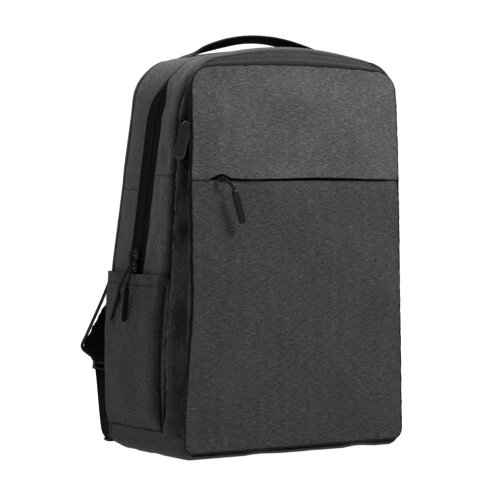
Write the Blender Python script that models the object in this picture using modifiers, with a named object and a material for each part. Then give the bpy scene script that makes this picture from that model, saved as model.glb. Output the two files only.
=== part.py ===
"""A laptop backpack with a charging port, as an assembly of its separate pieces.

Metres, +Z up. The bag stands on the floor at Z 0 with its front towards -Y and its origin at the
middle of its base. Soft pieces are plain closed solids of the right size and place.
"""

import math

import bmesh
import bpy
from mathutils import Matrix, Vector

# ---------------------------------------------------------------- driving dimensions
CROWN = 0.465  # height of the top of the bag, without its handle
HALF_LOW, HALF_HIGH = 0.152, 0.1435  # half width at the base and at the shoulders
FRONT_Y = -0.088  # outer face of the front panel
BACK_Y = 0.088  # outer face of the back panel at its foot
GAP = 0.0003  # clearance between pieces that are sewn together
SHELL = 0.0025  # fabric, foam and lining
CLOTH = 0.0012  # one layer of cloth or tape

SEAM_LOW = 0.029  # the bottom panel wraps up the sides to this height
ZIP_FOOT = 0.200  # lower ends of the main zip, under the side pockets' hems
POCKET_MOUTH = 0.2075  # top of the side pockets' hems
WELT = 0.3150  # height of the front pocket's slit
SLIT = 0.0034  # height of the gap that the slit leaves

ZIP_HALF = 0.0165  # half the visible width of the main zip's tape
CHAIN_HALF = 0.0031  # half the width of its coil
CHAIN_RISE = 0.0019  # how far the coil stands out of the tape

# Depth of each station line against height, linear between the points given.
BACK_LINE = ((0.0, BACK_Y), (0.21, BACK_Y), (0.44, 0.038))
ZIP_LINE = ((ZIP_FOOT, 0.0285), (0.385, -0.0085), (0.44, -0.037))
VALLEY_LINE = ((0.128, -0.037), (0.204, -0.046), (0.377, -0.060), (0.405, -0.070), (0.436, -0.080))
RIDGE_LINE = ((0.128, -0.044), (0.204, -0.053), (0.388, -0.0668), (0.405, -0.0745), (0.436, -0.0815))
RECESS_LINE = ((0.0, -0.0808), (0.333, -0.0808), (0.388, -0.0825), (0.436, -0.0832))
RECESS_DEPTH = ((0.0, 0.0185), (0.333, 0.0185), (0.388, 0.0150), (0.42, 0.004), (0.44, 0.0015))
GUSSET_ROWS = (SEAM_LOW + GAP, 0.075, 0.128, 0.166, 0.204, 0.27, 0.333, 0.388)
VALLEY_DEPTH = ((0.0, 0.0005), (0.20, 0.0005), (0.24, 0.005), (0.40, 0.005), (0.44, 0.002))
LOBE = ((0.0, 0.0), (0.215, 0.0), (0.245, -0.0015))


def along(line):
    """The depth of a station line as a function of height."""

    def value(z):
        if z <= line[0][0]:
            return line[0][1]
        for (z0, y0), (z1, y1) in zip(line, line[1:]):
            if z <= z1:
                return y0 + (y1 - y0) * (z - z0) / (z1 - z0)
        return line[-1][1]

    return value


back_y = along(BACK_LINE)
zip_y = along(ZIP_LINE)
valley_y = along(VALLEY_LINE)


def moved(line, distance):
    """The same station line, moved along Y."""
    at = along(line)
    return lambda z: at(z) + distance


# ---------------------------------------------------------------- outlines seen from the front
class Outline:
    """A trapezoid with an arched top and four round corners, given by its size in metres."""

    def __init__(self, half_low, half_high, crown, arch, corner, foot, foot_corner):
        self.half_low, self.half_high = half_low, half_high
        self.crown, self.arch, self.corner = crown, arch, corner
        self.foot, self.foot_corner = foot, foot_corner
        self.shoulder = crown - arch - corner

    def half(self, z):
        share = min(max(z / self.shoulder, 0.0), 1.0)
        return self.half_low + (self.half_high - self.half_low) * share

    def rows(self, low=None, steps=6):
        """(half width, height) up the right side to the arch, from low or from the round foot.

        A tuple in low holds the rows' own heights."""
        if isinstance(low, tuple):
            return [(self.half(z), z) for z in (*low, self.shoulder)] + self.corner_rows()
        found = []
        start = low
        if low is None:
            r = self.foot_corner
            start = self.foot + r
            for i in range(4):
                a = math.radians(30 * i)
                found.append((self.half(self.foot) - r + r * math.sin(a), start - r * math.cos(a)))
        side = [start + (self.shoulder - start) * i / steps for i in range(steps + 1)]
        found += [(self.half(z), z) for z in side[0 if low is not None else 1 :]]
        return found + self.corner_rows()

    def corner_rows(self):
        r = self.corner
        turns = [math.radians(15 * i) for i in range(1, 7)]
        middle = self.half_high - r
        return [(middle + r * math.cos(a), self.shoulder + r * math.sin(a)) for a in turns]

    def arch_z(self, x):
        reach = self.half_high - self.corner
        return self.crown - self.arch * min(abs(x) / reach, 1.0) ** 2

    def rim(self, low=None, steps=6, columns=8):
        """The outline's points as (x, z), from the left foot over the top to the right foot."""
        side = self.rows(low, steps)
        reach = side[-1][0]
        xs = [reach * (2 * i / columns - 1) for i in range(1, columns)]
        left = [(-x, z) for x, z in side]
        return left + [(x, self.arch_z(x)) for x in xs] + [(x, z) for x, z in reversed(side)]


BODY = Outline(HALF_LOW, HALF_HIGH, CROWN, 0.010, 0.050, 0.0, 0.010)
FACE = Outline(0.1515, 0.1430, 0.446, 0.004, 0.035, 0.008, 0.016)


def shrunk(outline, distance):
    """The outline moved inwards by a distance."""
    return Outline(
        outline.half_low - distance,
        outline.half_high - distance,
        outline.crown - distance,
        outline.arch,
        max(outline.corner - distance, 0.002),
        outline.foot + distance,
        max(outline.foot_corner - distance, 0.002),
    )


# ---------------------------------------------------------------- scene and materials
def clear_scene():
    for obj in list(bpy.data.objects):
        bpy.data.objects.remove(obj, do_unlink=True)


def new_collection(name):
    made = bpy.data.collections.new(name)
    bpy.context.scene.collection.children.link(made)
    return made


def material(name, colour, roughness, metallic=0.0):
    made = bpy.data.materials.new(name)
    made.use_nodes = True
    shader = made.node_tree.nodes["Principled BSDF"]
    shader.inputs["Base Color"].default_value = (*colour, 1.0)
    shader.inputs["Roughness"].default_value = roughness
    shader.inputs["Metallic"].default_value = metallic
    return made


clear_scene()
PARTS = new_collection("backpack")
CUTTERS = new_collection("cutters")
MELANGE = material("melange_fabric", (0.10, 0.10, 0.105), 0.9)
LINING = material("lining_fabric", (0.07, 0.07, 0.075), 0.85)
MESH_FABRIC = material("air_mesh", (0.02, 0.02, 0.022), 0.95)
WEBBING = material("webbing", (0.015, 0.015, 0.016), 0.8)
ZIP_TAPE = material("zip_tape", (0.012, 0.012, 0.013), 0.85)
COIL = material("zip_coil", (0.02, 0.02, 0.02), 0.5)
BLACK_METAL = material("slider_metal", (0.05, 0.05, 0.052), 0.35, 1.0)
RUBBER = material("pull_rubber", (0.03, 0.03, 0.032), 0.6)
BUCKLE = material("buckle_plastic", (0.04, 0.04, 0.042), 0.45)
STEEL = material("port_steel", (0.55, 0.55, 0.56), 0.3, 1.0)
TONGUE = material("port_tongue", (0.03, 0.03, 0.03), 0.5)
BOARD = material("stiffener_board", (0.25, 0.25, 0.25), 0.6)


# ---------------------------------------------------------------- ways of making a solid
def add(name, mesh, look):
    mesh.materials.append(look)
    obj = bpy.data.objects.new(name, mesh)
    PARTS.objects.link(obj)
    return obj


def loft(name, lines, thickness, look, towards=None, even=True):
    """A sheet through equal rows of points, which Solidify thickens towards a point, or both ways."""
    columns = len(lines[0])
    points = [point for line in lines for point in line]
    faces = []
    for row in range(len(lines) - 1):
        for col in range(columns - 1):
            a = row * columns + col
            faces.append((a, a + 1, a + 1 + columns, a + columns))
    mesh = bpy.data.meshes.new(name)
    mesh.from_pydata(points, [], faces)
    wall = add(name, mesh, look).modifiers.new("wall", "SOLIDIFY")
    wall.thickness = thickness
    wall.use_even_offset = even
    wall.offset = 0.0
    if towards is not None:
        aim = Vector(towards)
        facing = sum(face.area * face.normal.dot(aim - face.center) for face in mesh.polygons)
        wall.offset = math.copysign(1.0, facing)
    return bpy.data.objects[name]


def band(name, outline, stations, thickness, look, low=None, steps=6):
    """A gusset that runs over the bag. Each station is its depth and its inset against height."""
    lines = []
    for depth, inset in stations:
        rim = outline.rim(low, steps)
        middle = Vector((0.0, outline.shoulder * 0.6))
        line = []
        for i, (x, z) in enumerate(rim):
            before = Vector(rim[max(i - 1, 0)])
            after = Vector(rim[min(i + 1, len(rim) - 1)])
            run = (after - before).normalized()
            inward = Vector((run.y, -run.x))
            if inward.dot(middle - Vector((x, z))) < 0:
                inward.negate()
            if z < outline.shoulder:
                inward = Vector((math.copysign(1.0, -x), 0.0))
            d = inset(z)
            line.append((x + inward.x * d, depth(z), z + inward.y * d))
        lines.append(line)
    return loft(name, lines, thickness, look, (0, 0, 0.2))


def panel(name, outline, depth, thickness, look, inside, low=None, high=None, columns=8, steps=6):
    """A sheet that fills the outline, with one face at the depth given and the other nearer inside."""
    rows = [(half, z) for half, z in outline.rows(low, steps) if high is None or z < high - 1e-6]
    if high is not None:
        rows.append((outline.half(high), high))
    shares = [2 * i / columns - 1 for i in range(columns + 1)]
    lines = [[(half * s, depth(z), z) for s in shares] for half, z in rows]
    if high is None:
        reach = rows[-1][0]
        lines.append([(reach * s, depth(rows[-1][1]), outline.arch_z(reach * s)) for s in shares])
        lines[-1][0] = (-reach, depth(rows[-1][1]), outline.arch_z(reach) + 0.0004)
        lines[-1][-1] = (reach, depth(rows[-1][1]), outline.arch_z(reach) + 0.0004)
    return loft(name, lines, thickness, look, (0, inside, 0.2))


def mesh_object(name, look, bm):
    mesh = bpy.data.meshes.new(name)
    bmesh.ops.recalc_face_normals(bm, faces=bm.faces)
    bm.to_mesh(mesh)
    bm.free()
    return add(name, mesh, look)


def frame_matrix(origin, x_axis, z_axis):
    """A right-handed frame at origin whose Z is z_axis and whose X is as near x_axis as it can be."""
    z = Vector(z_axis).normalized()
    y = z.cross(Vector(x_axis)).normalized()
    x = y.cross(z)
    turn = Matrix((x, y, z)).transposed()
    return Matrix.Translation(Vector(origin)) @ turn.to_4x4()


def block(name, size, matrix, look, round_by=0.0, segments=2):
    """A box with its size in the given frame, centred on it, with rounded edges."""
    bm = bmesh.new()
    bmesh.ops.create_cube(bm, size=1.0)
    bmesh.ops.scale(bm, vec=Vector(size), verts=bm.verts)
    if round_by:
        bmesh.ops.bevel(
            bm, geom=bm.edges[:], offset=round_by, segments=segments, affect="EDGES", profile=0.5
        )
    obj = mesh_object(name, look, bm)
    obj.matrix_world = matrix
    return obj


def tube(name, points, radius, look, resolution=2, smooth_steps=4):
    """A round cord through the points given, on a smooth curve."""
    path = smooth(points, smooth_steps)
    curve = bpy.data.curves.new(name, "CURVE")
    curve.dimensions = "3D"
    curve.bevel_depth = radius
    curve.bevel_resolution = resolution
    curve.use_fill_caps = True
    spline = curve.splines.new("POLY")
    spline.points.add(len(path) - 1)
    for place, point in zip(spline.points, path):
        place.co = (*point, 1.0)
    curve.materials.append(look)
    obj = bpy.data.objects.new(name, curve)
    PARTS.objects.link(obj)
    return obj


def smooth(points, steps):
    """Points on the Catmull-Rom curve through the points given."""
    known = [Vector(p) for p in points]
    known = [2 * known[0] - known[1], *known, 2 * known[-1] - known[-2]]
    found = []
    for a, b, c, d in zip(known, known[1:], known[2:], known[3:]):
        for i in range(steps):
            t = i / steps
            found.append(
                0.5
                * (
                    2 * b
                    + (c - a) * t
                    + (2 * a - 5 * b + 4 * c - d) * t * t
                    + (3 * b - 3 * c + d - a) * t * t * t
                )
            )
    return [*found, known[-2]]


def ribbon(name, points, across, widths, thickness, look, steps=4):
    """A flat strap: a sheet along a smooth curve. Widths and the two ends' directions follow it."""
    path = smooth(points, steps)
    first, last = Vector(across[0]), Vector(across[1])
    lines = []
    for i, point in enumerate(path):
        t = i / (len(path) - 1)
        share = t * (len(widths) - 1)
        at = min(int(share), len(widths) - 2)
        half = (widths[at] + (widths[at + 1] - widths[at]) * (share - at)) / 2
        side = first.lerp(last, t).normalized() * half
        lines.append([point - side, point, point + side])
    return loft(name, lines, thickness, look)


def join(obj, *others):
    """The object and the others made one solid by Boolean unions, which stay as modifiers."""
    for other in others:
        for holder in list(other.users_collection):
            holder.objects.unlink(other)
        CUTTERS.objects.link(other)
        other.hide_render = True
        other.display_type = "WIRE"
        union = obj.modifiers.new("join", "BOOLEAN")
        union.operation = "UNION"
        union.object = other
    return obj


def cut(obj, *others):
    for other in others:
        for holder in list(other.users_collection):
            holder.objects.unlink(other)
        CUTTERS.objects.link(other)
        other.hide_render = True
        other.display_type = "WIRE"
        away = obj.modifiers.new("cut", "BOOLEAN")
        away.operation = "DIFFERENCE"
        away.object = other
    return obj


def constant(value):
    return lambda z: value


# ---------------------------------------------------------------- the shell
def build_shell():
    """Back panel, gussets, bottom and the wall between the two compartments."""
    foam = 0.010
    panel("back_panel", BODY, back_y, foam, MELANGE, -9.0, low=0.015)
    band(
        "rear_gusset",
        BODY,
        [
            (moved(BACK_LINE, -foam - GAP), constant(0.001)),
            (moved(ZIP_LINE, ZIP_HALF + GAP), constant(0.0)),
        ],
        SHELL,
        MELANGE,
        low=ZIP_FOOT,
    )
    middle = lambda z: (valley_y(z) + zip_y(z) - ZIP_HALF) / 2
    band(
        "front_gusset",
        BODY,
        [
            (moved(ZIP_LINE, -ZIP_HALF - GAP), constant(0.0)),
            (middle, along(LOBE)),
            (valley_y, along(VALLEY_DEPTH)),
        ],
        SHELL,
        MELANGE,
        low=ZIP_FOOT,
    )
    for side, name in ((-1, "left"), (1, "right")):
        side_panel(f"side_panel_{name}", side, foam)
    bottom_panel(foam)
    block(
        "base_board",
        (0.27, 0.108, 0.002),
        Matrix.Translation((0.0, 0.0215, SHELL + GAP + 0.0011)),
        BOARD,
        0.0004,
        1,
    )
    wall = shrunk(BODY, 0.0082)
    panel("divider_wall", wall, moved(VALLEY_LINE, 0.003), CLOTH, LINING, 9.0, low=0.0075)


def side_panel(name, side, foam):
    """The flat lower side, from the back panel to the front pocket's gusset."""
    heights = [SEAM_LOW + GAP, 0.09, 0.15, ZIP_FOOT - GAP]
    shares = (0.0, 0.5, 1.0)
    lines = []
    for z in heights:
        rear, fore = back_y(z) - foam - GAP, valley_y(z)
        lines.append([(side * BODY.half(z), rear + (fore - rear) * s, z) for s in shares])
    loft(name, lines, SHELL, MELANGE, (0, 0, 0.1))


def bottom_panel(foam):
    """The base, which wraps up the two sides and up the back to one seam height."""
    r = BODY.foot_corner
    half = BODY.half(0.0)
    profile = [(-BODY.half(SEAM_LOW), SEAM_LOW)]
    for i in range(5):
        a = math.radians(22.5 * i)
        profile.append((-half + r - r * math.cos(a), r - r * math.sin(a)))
    profile += [(-0.05, 0.0), (0.05, 0.0)]
    profile += [(-x, z) for x, z in profile[:6][::-1]]
    depths = (BACK_Y - foam - GAP, 0.03, -0.03, FRONT_Y + SHELL + GAP)
    lines = [[(x, y, z) for x, z in profile] for y in depths]
    loft("bottom_panel", lines, SHELL, MELANGE, (0, 0, 0.2))


def build_back():
    """The two mesh pads that lie against the wearer, and the yoke that the straps leave from."""
    for side, name in ((-1, "left"), (1, "right")):
        heights = [0.055, 0.065, 0.12, 0.165, 0.21, 0.265, 0.325, 0.335]
        inset = [0.008, 0.0, 0.0, 0.0, 0.0, 0.0, 0.0, 0.008]
        lines = []
        for z, less in zip(heights, inset):
            near, far = 0.022 + less, 0.122 - less
            y = back_y(z) + GAP + 0.0092
            xs = [near + (far - near) * s for s in (0, 0.33, 0.67, 1)]
            lines.append([(side * x, y, z) for x in xs])
        loft(f"back_pad_{name}", lines, 0.009, MESH_FABRIC, (0, -9, 0.2))
    lines = []
    for z, half in ((0.378, 0.100), (0.388, 0.108), (0.412, 0.108)):
        y = back_y(z) + GAP + 0.0058
        lines.append([(half * (1 - 0.5 * i), y, z) for i in range(5)])
    loft("strap_yoke", lines, 0.0055, MELANGE, (0, -9, 0.2))


# ---------------------------------------------------------------- the main zip
SIDE_LEAN = (HALF_LOW - HALF_HIGH) / BODY.shoulder
ZIP_RUN = Vector((SIDE_LEAN, -0.2, 1.0)).normalized()  # up the left side
ZIP_OUT = Vector((-1.0, 0.0, SIDE_LEAN)).normalized()


def zip_point(z, out=0.0):
    """A point on the left run of the main zip, a distance outside the bag's side."""
    return Vector((-BODY.half(z), zip_y(z), z)) + ZIP_OUT * out


def build_main_zip():
    """The tape, which bridges the two gussets, and the closed coil along its middle."""
    stations = [
        (moved(ZIP_LINE, ZIP_HALF), constant(0.0008)),
        (moved(ZIP_LINE, -ZIP_HALF), constant(0.0008)),
    ]
    band("main_zip_tape", BODY, stations, CLOTH, ZIP_TAPE, low=ZIP_FOOT)
    stations = [
        (moved(ZIP_LINE, CHAIN_HALF), constant(-CHAIN_RISE + GAP)),
        (moved(ZIP_LINE, -CHAIN_HALF), constant(-CHAIN_RISE + GAP)),
    ]
    band("main_zip_coil", BODY, stations, CHAIN_RISE, COIL, low=ZIP_FOOT)


SLIDER_LENGTH = 0.0125
SLIDER_HALF = 0.0048
BRIDGE_RISE = 0.0031  # clear height under the bridge
PLATE = 0.0013
CORD_RADIUS = 0.0009


def slider(name, matrix):
    """A zip slider. Its frame is on the coil's crest: X across the tape, Y along it, Z outwards."""
    plate = block(
        name,
        (2 * SLIDER_HALF, SLIDER_LENGTH, PLATE),
        matrix @ Matrix.Translation((0, 0, GAP + PLATE / 2)),
        BLACK_METAL,
        0.0005,
    )
    flanges = [
        block(
            f"{name}_flange_{i}",
            (0.0011, SLIDER_LENGTH - 0.003, 0.0023),
            matrix @ Matrix.Translation((x, 0, GAP + PLATE - 0.00115)),
            BLACK_METAL,
        )
        for i, x in enumerate((-SLIDER_HALF + 0.00055, SLIDER_HALF - 0.00055))
    ]
    base = GAP + PLATE * 0.6
    high = GAP + PLATE + BRIDGE_RISE + 0.0006
    bar = tube(
        f"{name}_bridge",
        [(0, -0.0045, base), (0, -0.0035, high - 0.0006), (0, 0, high), (0, 0.0035, high - 0.0006), (0, 0.0045, base)],
        0.0008,
        BLACK_METAL,
        2,
        3,
    )
    bridge = as_mesh(bar, matrix)
    return join(plate, *flanges, bridge)


def as_mesh(curve_object, matrix):
    """The curve's tube as a mesh with welded caps, placed by the matrix."""
    bpy.context.view_layer.update()
    graph = bpy.context.evaluated_depsgraph_get()
    mesh = bpy.data.meshes.new_from_object(curve_object.evaluated_get(graph))
    name = curve_object.name
    bpy.data.objects.remove(curve_object, do_unlink=True)
    bm = bmesh.new()
    bm.from_mesh(mesh)
    bmesh.ops.remove_doubles(bm, verts=bm.verts, dist=0.00001)
    bmesh.ops.recalc_face_normals(bm, faces=bm.faces)
    bm.to_mesh(mesh)
    bm.free()
    made = bpy.data.objects.new(name, mesh)
    PARTS.objects.link(made)
    made.matrix_world = matrix
    return made


def slider_frame(crest, run, out):
    """The frame of a slider on a coil's crest."""
    return frame_matrix(crest, Vector(run).cross(Vector(out)), out)


BRIDGE_AXIS = GAP + PLATE + BRIDGE_RISE / 2  # height of the cord's loop over the coil's crest


def pull(name, loop_at, across, route, grip_top, grip_foot, face, grip_size=(0.0080, 0.0048)):
    """A cord looped through a slider's bridge, and the rubber grip moulded onto its two ends."""
    side = Vector(across).normalized()
    down = (Vector(grip_foot) - Vector(grip_top)).normalized()
    spread = 0.0023
    strand = [Vector(p) for p in route]
    sides = side * spread
    tip = Vector(grip_top) - down * 0.0005
    narrow = down.cross(Vector(face)).normalized() * 0.0013
    if narrow.dot(side) < 0:
        narrow.negate()
    ends = [tip, tip - down * 0.0030]
    widths = [1.0, *[0.55] * (len(strand) - 1)]
    first = [p - sides * w for p, w in zip(strand, widths)]
    last = [p + sides * w for p, w in zip(strand, widths)]
    first = [p - narrow for p in ends] + first[::-1]
    last = last + [p + narrow for p in reversed(ends)]
    top = [Vector(loop_at) - sides, Vector(loop_at) - sides * 0.35, Vector(loop_at) + sides * 0.35, Vector(loop_at) + sides]
    tube(f"{name}_cord", first + top + last, CORD_RADIUS, WEBBING, 1, 3)
    length = (Vector(grip_foot) - Vector(grip_top)).length
    middle = (Vector(grip_foot) + Vector(grip_top)) / 2
    matrix = frame_matrix(middle, face, down)
    width, thickness = grip_size
    block(f"{name}_grip", (thickness, width, length), matrix, RUBBER, 0.0018)


LOWER_SLIDER_Z, UPPER_SLIDER_Z = 0.2150, 0.2300


def build_main_sliders():
    crest = CHAIN_RISE
    for name, z in (("main_slider_lower", LOWER_SLIDER_Z), ("main_slider_upper", UPPER_SLIDER_Z)):
        slider(name, slider_frame(zip_point(z, crest), ZIP_RUN, ZIP_OUT))
    across = ZIP_RUN.cross(ZIP_OUT)
    loop = zip_point(LOWER_SLIDER_Z, crest + BRIDGE_AXIS)
    pull(
        "main_pull_lower",
        loop,
        across,
        [loop + ZIP_OUT * 0.0044 - ZIP_RUN * 0.0020, Vector((-0.1592, 0.0370, 0.1995))],
        (-0.1605, 0.0460, 0.1868),
        (-0.1615, 0.0655, 0.1512),
        (1, 0, 0),
    )
    loop = zip_point(UPPER_SLIDER_Z, crest + BRIDGE_AXIS)
    pull(
        "main_pull_upper",
        loop,
        across,
        [loop + ZIP_OUT * 0.0046 - ZIP_RUN * 0.0020, Vector((-0.1605, 0.0185, 0.2060))],
        (-0.1630, 0.0230, 0.1905),
        (-0.1640, 0.0285, 0.1510),
        (0, 1, 0),
    )


# ---------------------------------------------------------------- the front pocket
FRONT_CREST_Y = -0.0842  # the front zip's coil lies this deep, behind the slit
SLIT_HALF = 0.122


def build_front():
    stations = [
        (moved(VALLEY_LINE, -0.0018), along(VALLEY_DEPTH)),
        (along(RIDGE_LINE), constant(-0.0005)),
        (along(RECESS_LINE), along(RECESS_DEPTH)),
        (constant(FRONT_Y + SHELL + GAP + CLOTH), constant(0.0030)),
    ]
    gusset = front_gusset_lines(stations)
    gusset = loft("front_pocket_gusset", gusset, CLOTH, MELANGE, (0, 0, 0.2), even=False)
    face = constant(FRONT_Y)
    panel("front_panel_lower", FACE, face, SHELL, MELANGE, 9.0, high=WELT - SLIT / 2)
    panel("front_panel_upper", FACE, face, SHELL, MELANGE, 9.0, low=WELT + SLIT / 2, steps=3)
    front_zip()
    return gusset


def front_gusset_lines(stations):
    """Station lines that pass from the body's outline to the face's, which is lower at the top."""
    lines = []
    count = len(stations)
    for k, (depth, inset) in enumerate(stations):
        share = k / (count - 1)
        body, face = BODY.rim(GUSSET_ROWS), FACE.rim(GUSSET_ROWS)
        line = []
        for (xb, zb), (xf, zf) in zip(body, face):
            x, z = xb + (xf - xb) * share, zb + (zf - zb) * share
            flat = min(max((z - 0.40) / 0.045, 0.0), 1.0)
            d = inset(z)
            line.append((x - math.copysign(d, x) * (1 - flat) if x else x, depth(z), z - d * flat))
        lines.append(line)
    return lines


def front_zip():
    """The zip behind the slit, sewn to the back of the two front panels."""
    tape_y = FRONT_CREST_Y + 0.0022
    block(
        "front_zip_tape",
        (2 * SLIT_HALF, 0.0010, 0.028),
        Matrix.Translation((0, tape_y + 0.0009, WELT)),
        ZIP_TAPE,
    )
    block(
        "front_zip_coil",
        (2 * SLIT_HALF - 0.006, 0.0018, 0.0056),
        Matrix.Translation((0, tape_y - 0.0008, WELT)),
        COIL,
        0.0005,
        1,
    )


FRONT_SLIDER_X = -0.107


def front_slider():
    """Its plate hides behind the two panels, and only its bridge comes through the slit."""
    crest = Vector((FRONT_SLIDER_X, FRONT_CREST_Y - 0.0001, WELT))
    name = "front_slider"
    matrix = frame_matrix(crest, (0, 0, -1), (0, -1, 0))
    plate = block(
        name,
        (0.0086, SLIDER_LENGTH, 0.0009),
        matrix @ Matrix.Translation((0, 0, 0.00065 - GAP)),
        BLACK_METAL,
        0.0002,
        1,
    )
    rise = 0.0085
    bar = tube(
        f"{name}_bridge",
        [(0, -0.0040, 0.0004), (0, -0.0036, rise - 0.0008), (0, 0, rise), (0, 0.0036, rise - 0.0008), (0, 0.0040, 0.0004)],
        0.0008,
        BLACK_METAL,
        2,
        3,
    )
    join(plate, as_mesh(bar, matrix))
    loop = crest + Vector((0, -rise + 0.0008 + CORD_RADIUS + 0.0003, 0))
    pull(
        "front_pull",
        loop,
        (0, 0, 1),
        [loop + Vector((0.0015, -0.0042, 0)), loop + Vector((0.0085, -0.0056, -0.0030))],
        (-0.0925, -0.0985, 0.3035),
        (-0.0800, -0.0970, 0.2650),
        (0, 1, 0),
        (0.0080, 0.0048),
    )


# ---------------------------------------------------------------- side pockets
POCKET_RISE = 0.0060  # how far a side pocket stands off the bag's side


def build_side_pockets():
    for side, name in ((-1, "left"), (1, "right")):
        heights = (SEAM_LOW + 0.003, 0.05, 0.09, 0.13, 0.165, POCKET_MOUTH - 0.0125)
        lines = []
        for i, z in enumerate(heights):
            rise = (GAP + 0.0016, POCKET_RISE + 0.001, POCKET_RISE + 0.003, POCKET_RISE + 0.0035,
                    POCKET_RISE + 0.002, POCKET_RISE)[i]
            rear, fore = back_y(z) - 0.0015, valley_y(z) + 0.0015
            x = BODY.half(z)
            edge = GAP + 0.0016
            depths = (rear, rear - 0.006, rear - 0.04, fore + 0.04, fore + 0.006, fore)
            rises = (edge, rise * 0.85 if i else edge, rise, rise, rise * 0.85 if i else edge, edge)
            lines.append([(side * (x + r), y, z) for y, r in zip(depths, rises)])
        loft(f"side_pocket_{name}", lines, CLOTH, MELANGE, (0, 0, 0.1))
        z0, z1 = POCKET_MOUTH - 0.0125 + GAP, POCKET_MOUTH
        lines = []
        for z in (z0, (z0 + z1) / 2, z1):
            rear, fore = back_y(z0) - 0.0015, valley_y(z0) + 0.0015
            x = BODY.half(z)
            edge = GAP + 0.0021
            depths = (rear, rear - 0.006, rear - 0.04, fore + 0.04, fore + 0.006, fore)
            rise = POCKET_RISE
            rises = (edge, rise * 0.85, rise, rise, rise * 0.85, edge)
            lines.append([(side * (x + r), y, z) for y, r in zip(depths, rises)])
        loft(f"side_pocket_hem_{name}", lines, 0.0018, MELANGE, (0, 0, 0.1))


# ---------------------------------------------------------------- charging port
PORT_FOOT, PORT_HEAD = (0.3400, 0.24), (0.3785, 0.38)  # height, and share of the pleat's width
PORT_WIDTH, PORT_LENGTH = 0.0150, 0.0440
SOCKET_LOW = -0.0030  # how far the socket's middle is below the port's


def pleat_point(z, share):
    """A point on the left pleat's outer face, between its ridge at share 0 and its fold at 1."""
    half = [BODY.half(z) + (FACE.half(z) - BODY.half(z)) * k / 3 for k in (1, 2)]
    ridge = Vector((-half[0] - 0.0005, along(RIDGE_LINE)(z), z))
    fold = Vector((-half[1] + along(RECESS_DEPTH)(z), along(RECESS_LINE)(z), z))
    return ridge.lerp(fold, share)


def port_frame():
    """The port's frame on the pleat: X towards the bag's front, Y up, Z out of the pleat."""
    foot, head = pleat_point(*PORT_FOOT), pleat_point(*PORT_HEAD)
    run = head - foot
    out = run.cross(pleat_point(PORT_HEAD[0], 1.0) - pleat_point(PORT_HEAD[0], 0.0)).normalized()
    if out.x > 0:
        out.negate()
    return frame_matrix((foot + head) / 2, run.cross(out), out)


def build_port(gusset):
    """A rubber base sewn to the pleat, the socket in it, and a flap hinged along its rear edge."""
    base_thick = 0.0018
    lift = 0.0006
    frame = port_frame()
    base = block(
        "port_base",
        (PORT_WIDTH, PORT_LENGTH, base_thick),
        frame @ Matrix.Translation((0, 0, lift + base_thick / 2)),
        RUBBER,
        0.0008,
    )
    socket = frame @ Matrix.Translation((0, SOCKET_LOW, 0))
    cut(base, block("port_base_hole", (0.0060, 0.0137, 0.02), socket, RUBBER))
    cut(gusset, block("port_pleat_hole", (0.0062, 0.0139, 0.008), socket, RUBBER))
    shell = block(
        "port_shell",
        (0.0054, 0.0131, 0.0110),
        socket @ Matrix.Translation((0, 0, lift + base_thick - 0.0055)),
        STEEL,
        0.0004,
        1,
    )
    bore = socket @ Matrix.Translation((0, 0, lift + base_thick - 0.0044))
    cut(shell, block("port_shell_bore", (0.0046, 0.0123, 0.0100), bore, STEEL))
    tongue = socket @ Matrix.Translation((-0.0009, 0, lift + base_thick - 0.0053))
    block("port_tongue", (0.0018, 0.0110, 0.0070), tongue, TONGUE)
    flap = frame @ Matrix.Translation((0, -0.0012, lift + base_thick + GAP + 0.0010))
    block("port_flap", (PORT_WIDTH - 0.0012, 0.0385, 0.0020), flap, RUBBER, 0.0009)


# ---------------------------------------------------------------- inside
def build_inside():
    """The padded laptop sleeve with its closing tab, and the pocket for the power bank."""
    inner = shrunk(BODY, 0.009)
    sleeve_y = moved(BACK_LINE, -0.039)
    panel("laptop_sleeve", inner, sleeve_y, 0.005, LINING, 9.0, low=0.0065, high=0.300)
    lines = []
    for z in (0.285, 0.300, 0.318, 0.335, 0.345):
        y = back_y(z) - 0.0393 + max(z - 0.300, 0.0) * 0.42
        lines.append([(x, y, z) for x in (-0.0125, 0.0, 0.0125)])
    loft("sleeve_tab", lines, 0.0015, WEBBING, (0, -9, 0.3))
    z0, z1 = 0.210, 0.320
    lines = []
    for z in (z0, (z0 + z1) / 2, z1):
        y = valley_y(z) + 0.003 - GAP
        xs = (-0.1255, -0.1235, -0.065, -0.063)
        ys = (y, y - 0.007, y - 0.007, y)
        lines.append([(x, d, z) for x, d in zip(xs, ys)])
    loft("battery_pocket", lines, 0.0009, LINING, (-0.095, 9, 0.25))


# ---------------------------------------------------------------- handle
HANDLE_Y = -0.003
HANDLE_REACH = 0.072  # the free webbing runs from -this to +this
HANDLE_ROLL = (0, 0.978, -0.208)  # the webbing's front edge stands higher than its rear one


def build_handle():
    """Webbing in a low arch, between two folded ends that are sewn into the top gusset."""
    reach = HANDLE_REACH
    points = [(-reach, HANDLE_Y, 0.4668), (-0.035, HANDLE_Y, 0.4762), (0.0, HANDLE_Y, 0.4795),
              (0.035, HANDLE_Y, 0.4762), (reach, HANDLE_Y, 0.4668)]
    across = (HANDLE_ROLL, HANDLE_ROLL)
    ribbon("handle_webbing", points, across, (0.025, 0.025), 0.0024, WEBBING)
    for side, name in ((-1, "left"), (1, "right")):
        points = [
            (side * 0.096, HANDLE_Y, BODY.arch_z(0.096) + 0.0028),
            (side * 0.086, HANDLE_Y, 0.4610),
            (side * (reach + 0.0013), HANDLE_Y, 0.4663),
        ]
        across = ((0, 1, 0), HANDLE_ROLL)
        ribbon(f"handle_end_{name}", points, across, (0.025, 0.025), 0.0024, WEBBING, 3)


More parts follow.
